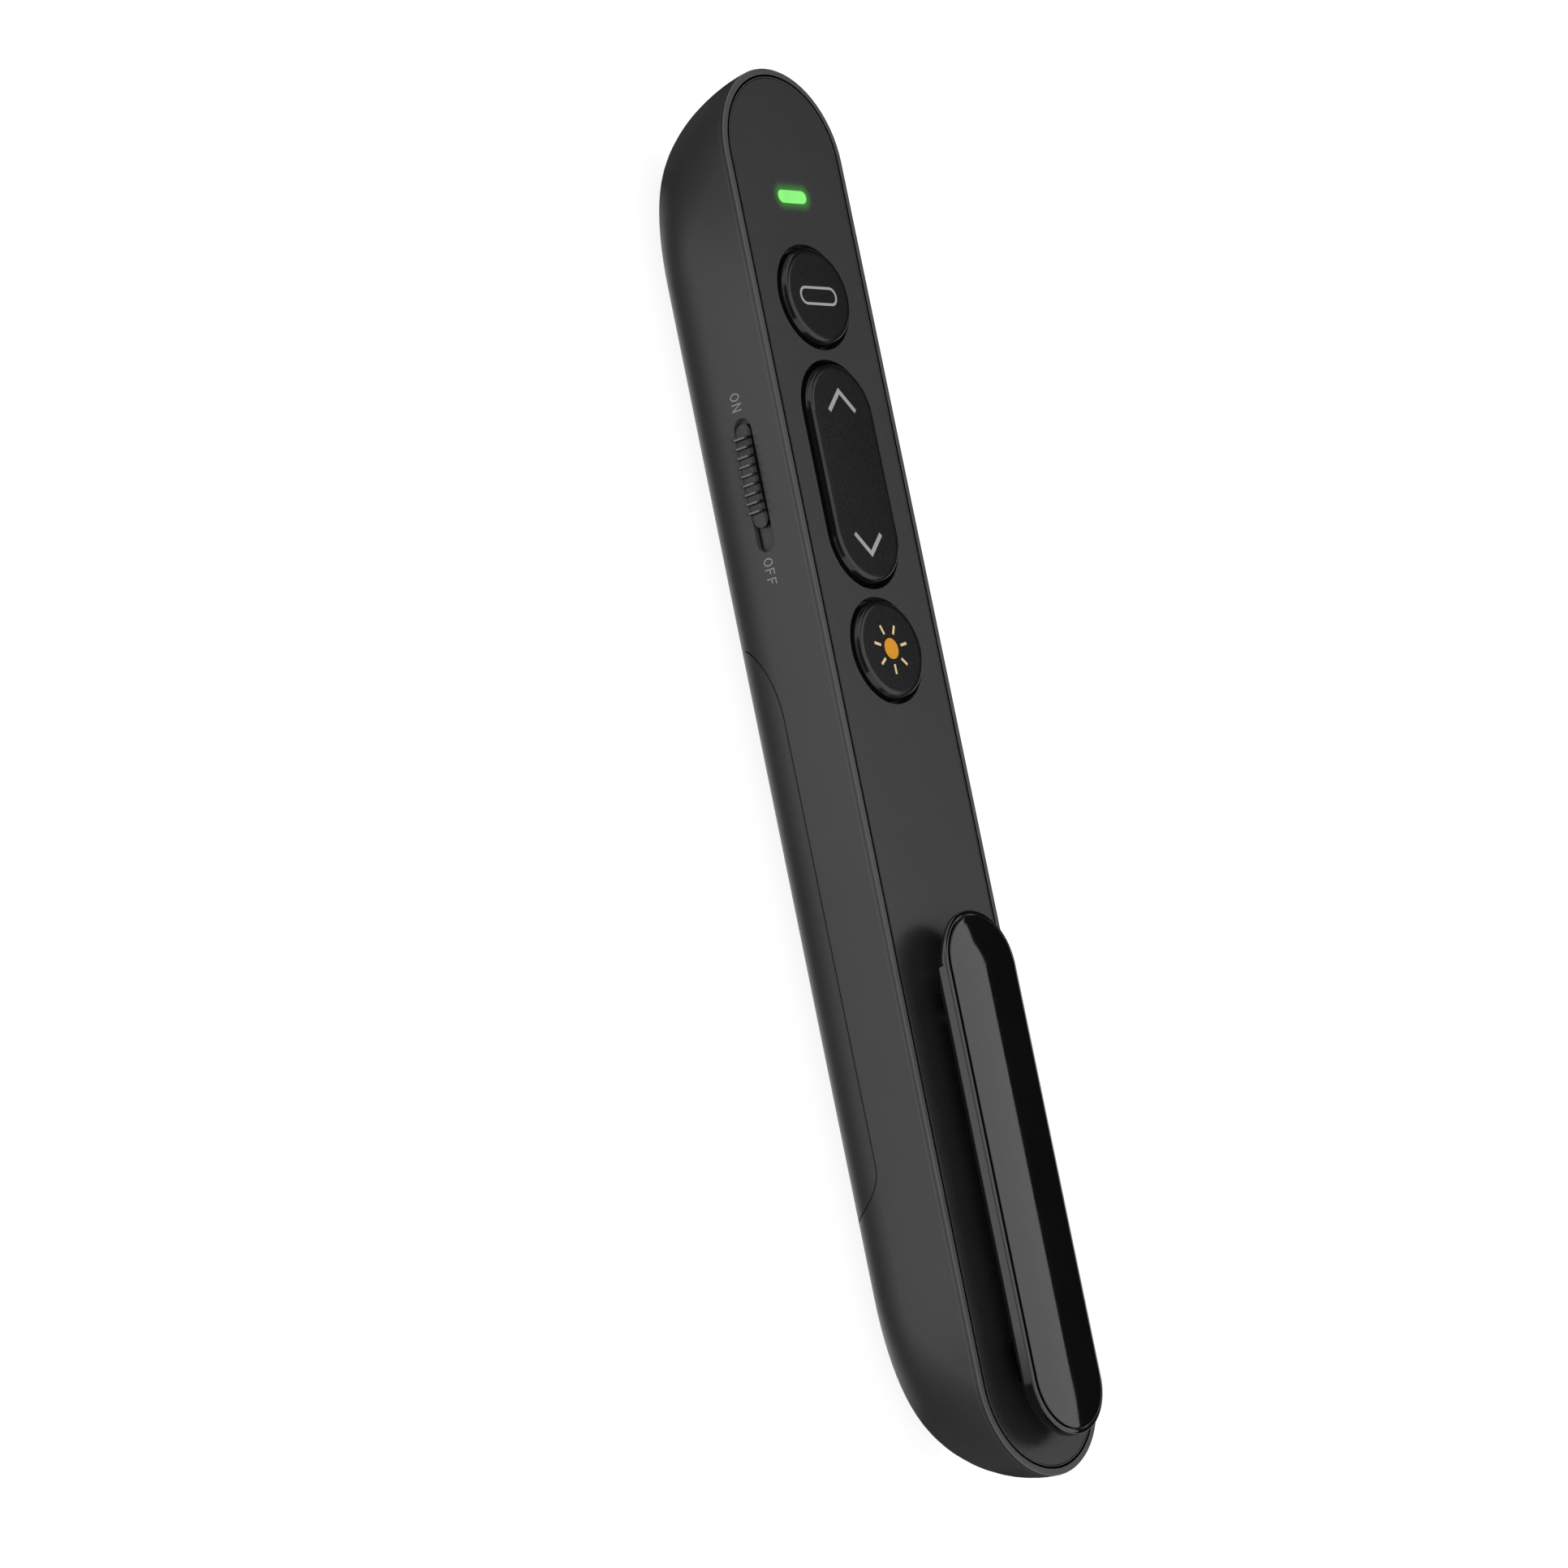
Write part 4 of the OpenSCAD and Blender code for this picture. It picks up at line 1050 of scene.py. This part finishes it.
# The knob in mm: X of its foot and top, its middle Z, and how far from that the ribs go from
# dark painted shade to lit; then the same for the X of their normals, and the painted light
# tones from foot to top.
KNOB_RISE = (-9.0, -10.6)
KNOB_MIDDLE = SIDE_Z - 0.1
KNOB_FLANK = (0.78, 0.66)
KNOB_FACING = (-0.5, -0.85)
KNOB_PAINTED_LIGHT = [
    (0.0, grey(78)), (0.3, grey(68)), (0.62, grey(70)), (0.72, grey(78)), (0.95, grey(135)),
]


def knob_material():
    """Knob plastic: outward faces get lighter with height as a painted highlight, and the flanks
    are dark with painted shade.
    """
    material = surface("knob_plastic", grey(78), grey(72), (0.34, 0.44), bump=0.2)
    tree, shader, coords = shader_parts(material)
    place = separate(tree, coords["Object"])
    facing = separate(tree, coords["Normal"])
    high = spread(tree, place["X"], 0.0, 1.0, KNOB_RISE[0] * MM, KNOB_RISE[1] * MM)
    painted_light_tone = color_ramp(tree, high, KNOB_PAINTED_LIGHT)
    outward = spread(tree, facing["X"], 0.0, 1.0, *KNOB_FACING)
    shift = calculate(tree, "SUBTRACT", place["Z"], KNOB_MIDDLE * MM)
    aside = calculate(tree, "ABSOLUTE", shift)
    inside = spread(tree, aside, 0.0, 1.0, KNOB_FLANK[0] * MM, KNOB_FLANK[1] * MM)
    lit = calculate(tree, "MULTIPLY", outward, inside)
    # Painted shade: flanks and faces turned away go near black; the rest takes the painted light
    # tones.
    tree.links.new(blend_colors(tree, lit, grey(8), painted_light_tone), shader.inputs["Base Color"])
    return material


M["knob"] = knob_material()
M["lamp"] = lamp_material()
M["lens"] = lens_material()
M["cell"] = cell_material()

# CAD nodes that stay: material and edge round in mm.
KEPT = {
    "light_pipe": ("lamp", 0.05),
    "power_knob": ("knob", 0.05),
    "clip_pin": ("steel", 0.08),
    "clip_springs": ("steel", 0),
    "circuit_board": ("board", 0.05),
    "board_screws": ("steel", 0.06),
    "front_tacts": ("steel", 0.06),
    "screen_plunger": ("plunger", 0.08),
    "page_plungers": ("plunger", 0.08),
    "laser_plunger": ("plunger", 0.08),
    "side_tacts": ("steel", 0.06),
    "side_plungers": ("plunger", 0.08),
    "slide_switch_case": ("steel", 0.06),
    "slide_switch_lever": ("chip", 0.06),
    "status_led": ("plunger", 0.05),
    "radio_chip": ("chip", 0.06),
    "memory_chip": ("chip", 0.06),
    "crystal": ("steel", 0.12),
    "laser_barrel": ("brass", 0.1),
    "laser_lens": ("lens", 0.1),
    "laser_driver": ("board", 0.05),
    "battery_cell": ("cell", 0.25),
    "cell_cap": ("steel", 0.2),
    "negative_spring": ("steel", 0),
    "negative_contact": ("steel", 0.05),
    "positive_contact": ("steel", 0.05),
    "battery_lead": ("brass", 0.03),
    "receiver_grip": ("cap", 0.2),
    "receiver_plug": ("steel", 0.06),
    "receiver_tongue": ("plunger", 0.05),
}


def dress_kept():
    for name, (material, width) in KEPT.items():
        obj = nodes[name]
        obj.data.materials.clear()
        obj.data.materials.append(M[material])
        soften(obj, width, weld=True)


# ---------------------------------------------------------------- studio
WHITE = (1, 1, 1)
FILL_STRENGTH = 0.4
FLOOR_TONES = ((0.25, 0.25, 0.25), (0.24, 0.24, 0.24))
FLOOR_HALF = 9000
FLOOR_Z = -0.02
FLOOR_GLOW = 0.9
# Outline (Y, Z) in mm of the right card: towards the top end its top edge rises in two steps
# and its lower edge drops to the floor.
CARD_RIGHT = [
    (-900, 120), (75, 120), (90, 0), (1300, 0), (1300, 1500), (300, 1500), (245, 540),
    (225, 428), (112, 424), (96, 409), (79, 398), (60, 393), (-900, 393),
]
CARD_RIGHT_X = (500.0, 502.0)
CARD_LEFT = ((-2702, -2600, 250), (-2700, 1800, 2900))
# Name, place in m, size in m and power in W of each light.
LIGHTS = (
    ("key_light", (1.1, 0.5, 1.9), 1.1, 24.0),
    ("fill_light", (-1.2, -0.6, 1.7), 1.4, 13.0),
)
LIGHTS_AIM = (0, 0, 0.01)
# What is left of the floor in reflections under its painted shadow.
PAINTED_SHADE_LEVEL = 0.08
# The ring of painted shadow round the body in reflections: half its straight length and its
# reach in mm, how much the ends count, and the floor's strength along the reach.
RING_STRAIGHT = 60
RING_REACH = 30
RING_SQUEEZE = (1, 0.3, 1)
RING_TONES = [(0.19, 1.0), (0.29, PAINTED_SHADE_LEVEL), (0.39, PAINTED_SHADE_LEVEL), (0.65, 1.0)]
# Rectangles of painted shade on the floor in reflections: middle and half sizes in mm, and how
# soft their edges are.
PAINTED_SHADE_PATCHES = [((230, 48), (218, 39)), ((0, 92), (60, 30)), ((0, -92), (60, 30))]
PATCH_SOFT = 5.0


def ray_kinds(tree, *kinds):
    """1 for rays of the given kinds."""
    path = tree.nodes.new("ShaderNodeLightPath")
    rays = [path.outputs["Is " + kind + " Ray"] for kind in kinds]
    result = rays[0]
    for ray in rays[1:]:
        result = calculate(tree, "MAXIMUM", result, ray)
    return result


def painted_shade_patch(tree, place, middle, half):
    """1 inside a soft-edged rectangle of painted shade on the floor, given by its middle and
    half sizes in mm.
    """
    shift = calculate_vector(tree, "SUBTRACT", place, (middle[0] * MM, middle[1] * MM, 0))
    away = separate(tree, calculate_vector(tree, "ABSOLUTE", shift))
    within = [
        spread(tree, away[axis], 0.0, 1.0, (size + PATCH_SOFT) * MM, (size - PATCH_SOFT) * MM)
        for axis, size in zip("XY", half)
    ]
    return calculate(tree, "MULTIPLY", *within)


def contact_shade(tree, place):
    """Strength of the floor in reflections: low in the painted shadow of the ring and the
    patches, else 1.
    """
    whole = calculate_vector(tree, "ABSOLUTE", place)
    past = calculate_vector(tree, "SUBTRACT", whole, (0, RING_STRAIGHT * MM, 1))
    above = calculate_vector(tree, "MAXIMUM", past, (0, 0, 0))
    squeeze = calculate_vector(tree, "MULTIPLY", above, RING_SQUEEZE)
    far = calculate_vector(tree, "LENGTH", squeeze)
    share = spread(tree, far, 0.0, 1.0, 0.0, RING_REACH * MM)
    ring = grey_ramp(tree, share, RING_TONES)
    patches = [painted_shade_patch(tree, place, *patch) for patch in PAINTED_SHADE_PATCHES]
    dark = patches[0]
    for patch in patches[1:]:
        dark = calculate(tree, "MAXIMUM", dark, patch)
    left = spread(tree, dark, 1.0, PAINTED_SHADE_LEVEL, 0.0, 1.0)
    return calculate(tree, "MULTIPLY", ring, left)


def floor_material():
    """Pale floor: shows as the white background in reflections, with a painted shadow round the
    body there, and keeps its cast shadow.
    """
    material, tree, shader, place = node_material("floor_white")
    drift = spread(tree, noise(tree, place, 3.0), 0, 1)
    tree.links.new(blend_colors(tree, drift, *FLOOR_TONES), shader.inputs["Base Color"])
    shader.inputs["Roughness"].default_value = 0.9
    shader.inputs["Specular IOR Level"].default_value = 0.0
    feed(tree, shader.inputs["Emission Color"], WHITE)
    glow = calculate(tree, "MULTIPLY", ray_kinds(tree, "Camera"), FLOOR_GLOW)
    feed(tree, shader.inputs["Emission Strength"], glow)
    white = tree.nodes.new("ShaderNodeEmission")
    feed(tree, white.inputs["Color"], WHITE)
    feed(tree, white.inputs["Strength"], contact_shade(tree, place))
    mix = tree.nodes.new("ShaderNodeMixShader")
    tree.links.new(ray_kinds(tree, "Glossy", "Transmission"), mix.inputs[0])
    tree.links.new(shader.outputs["BSDF"], mix.inputs[1])
    tree.links.new(white.outputs["Emission"], mix.inputs[2])
    tree.links.new(mix.outputs[0], tree.nodes["Material Output"].inputs["Surface"])
    return material


def background(tree, strength):
    node = tree.nodes.new("ShaderNodeBackground")
    feed(tree, node.inputs["Color"], WHITE)
    feed(tree, node.inputs["Strength"], strength)
    return node.outputs[0]


def studio():
    world = bpy.data.worlds.new("studio")
    scene.world = world
    world.use_nodes = True
    tree = world.node_tree
    tree.nodes.clear()
    # Camera, glossy and transmission rays see white; the others get less light.
    mix = tree.nodes.new("ShaderNodeMixShader")
    out = tree.nodes.new("ShaderNodeOutputWorld")
    tree.links.new(ray_kinds(tree, "Camera", "Glossy", "Transmission"), mix.inputs[0])
    tree.links.new(background(tree, FILL_STRENGTH), mix.inputs[1])
    tree.links.new(background(tree, 1.0), mix.inputs[2])
    tree.links.new(mix.outputs[0], out.inputs["Surface"])

    half = FLOOR_HALF
    floor = new_object("studio_floor", ([
        (-half, -half, FLOOR_Z), (half, -half, FLOOR_Z), (half, half, FLOOR_Z),
        (-half, half, FLOOR_Z),
    ], [(0, 1, 2, 3)]))
    floor.data.materials.append(floor_material())

    # Two dark cards, seen only in reflections, give the gloss its edges.
    card_data = {
        "card_right": loft([[(x, y, z) for y, z in CARD_RIGHT] for x in CARD_RIGHT_X]),
        "card_left": box_mesh(*CARD_LEFT),
    }
    for name, data in card_data.items():
        card = new_object(name, data)
        card.data.materials.append(M["card"])
        card.visible_camera = False
        card.visible_diffuse = False
        card.visible_transmission = False
        card.visible_shadow = False

    for name, place, size, power in LIGHTS:
        light = bpy.data.lights.new(name, "AREA")
        light.shape = "DISK"
        light.size = size
        light.energy = power
        lamp = bpy.data.objects.new(name, light)
        lamp.location = place
        lamp.visible_glossy = False
        aim = Vector(LIGHTS_AIM) - lamp.location
        lamp.rotation_euler = aim.to_track_quat("-Z", "Y").to_euler()
        scene.collection.objects.link(lamp)


# ---------------------------------------------------------------- camera
# The camera's axes, which give the view its angle and roll, and its distance in m from the
# middle of the front.
CAMERA_RIGHT = (0.61349963, -0.19962381, 0.76404747)
CAMERA_UP = (-0.00357222, 0.96681079, 0.25546843)
CAMERA_BACK = (-0.78968693, -0.15945914, 0.59242497)
CAMERA_DISTANCE = 1.0346
CAMERA_SENSOR = 36.0
CAMERA_LENS = 230.536
CAMERA_SHIFT = (-0.0801, -0.012958)
CAMERA_CLIP = (0.05, 100.0)


def camera():
    """The view of the photo's three-quarter picture."""
    right, up, back = Vector(CAMERA_RIGHT), Vector(CAMERA_UP), Vector(CAMERA_BACK)
    data = bpy.data.cameras.new("camera")
    data.sensor_width = CAMERA_SENSOR
    data.lens = CAMERA_LENS
    data.shift_x, data.shift_y = CAMERA_SHIFT
    data.clip_start, data.clip_end = CAMERA_CLIP
    view = bpy.data.objects.new("camera", data)
    turn = Matrix((right, up, back)).transposed().to_4x4()
    middle = Vector((0, 0, FRONT * MM))
    view.matrix_world = Matrix.Translation(middle + back * CAMERA_DISTANCE) @ turn
    scene.collection.objects.link(view)
    scene.camera = view


camera()
studio()
housing()
door()
front_plate()
round_button("screen_button_cap", "screen_button", SCREEN_Y, "screen_key")
round_button("laser_button_cap", "laser_button", LASER_Y, "laser_key")
rocker()
clip()
side_key()
marks()
dress_kept()

scene.view_settings.view_transform = "Standard"

bpy.context.view_layer.update()
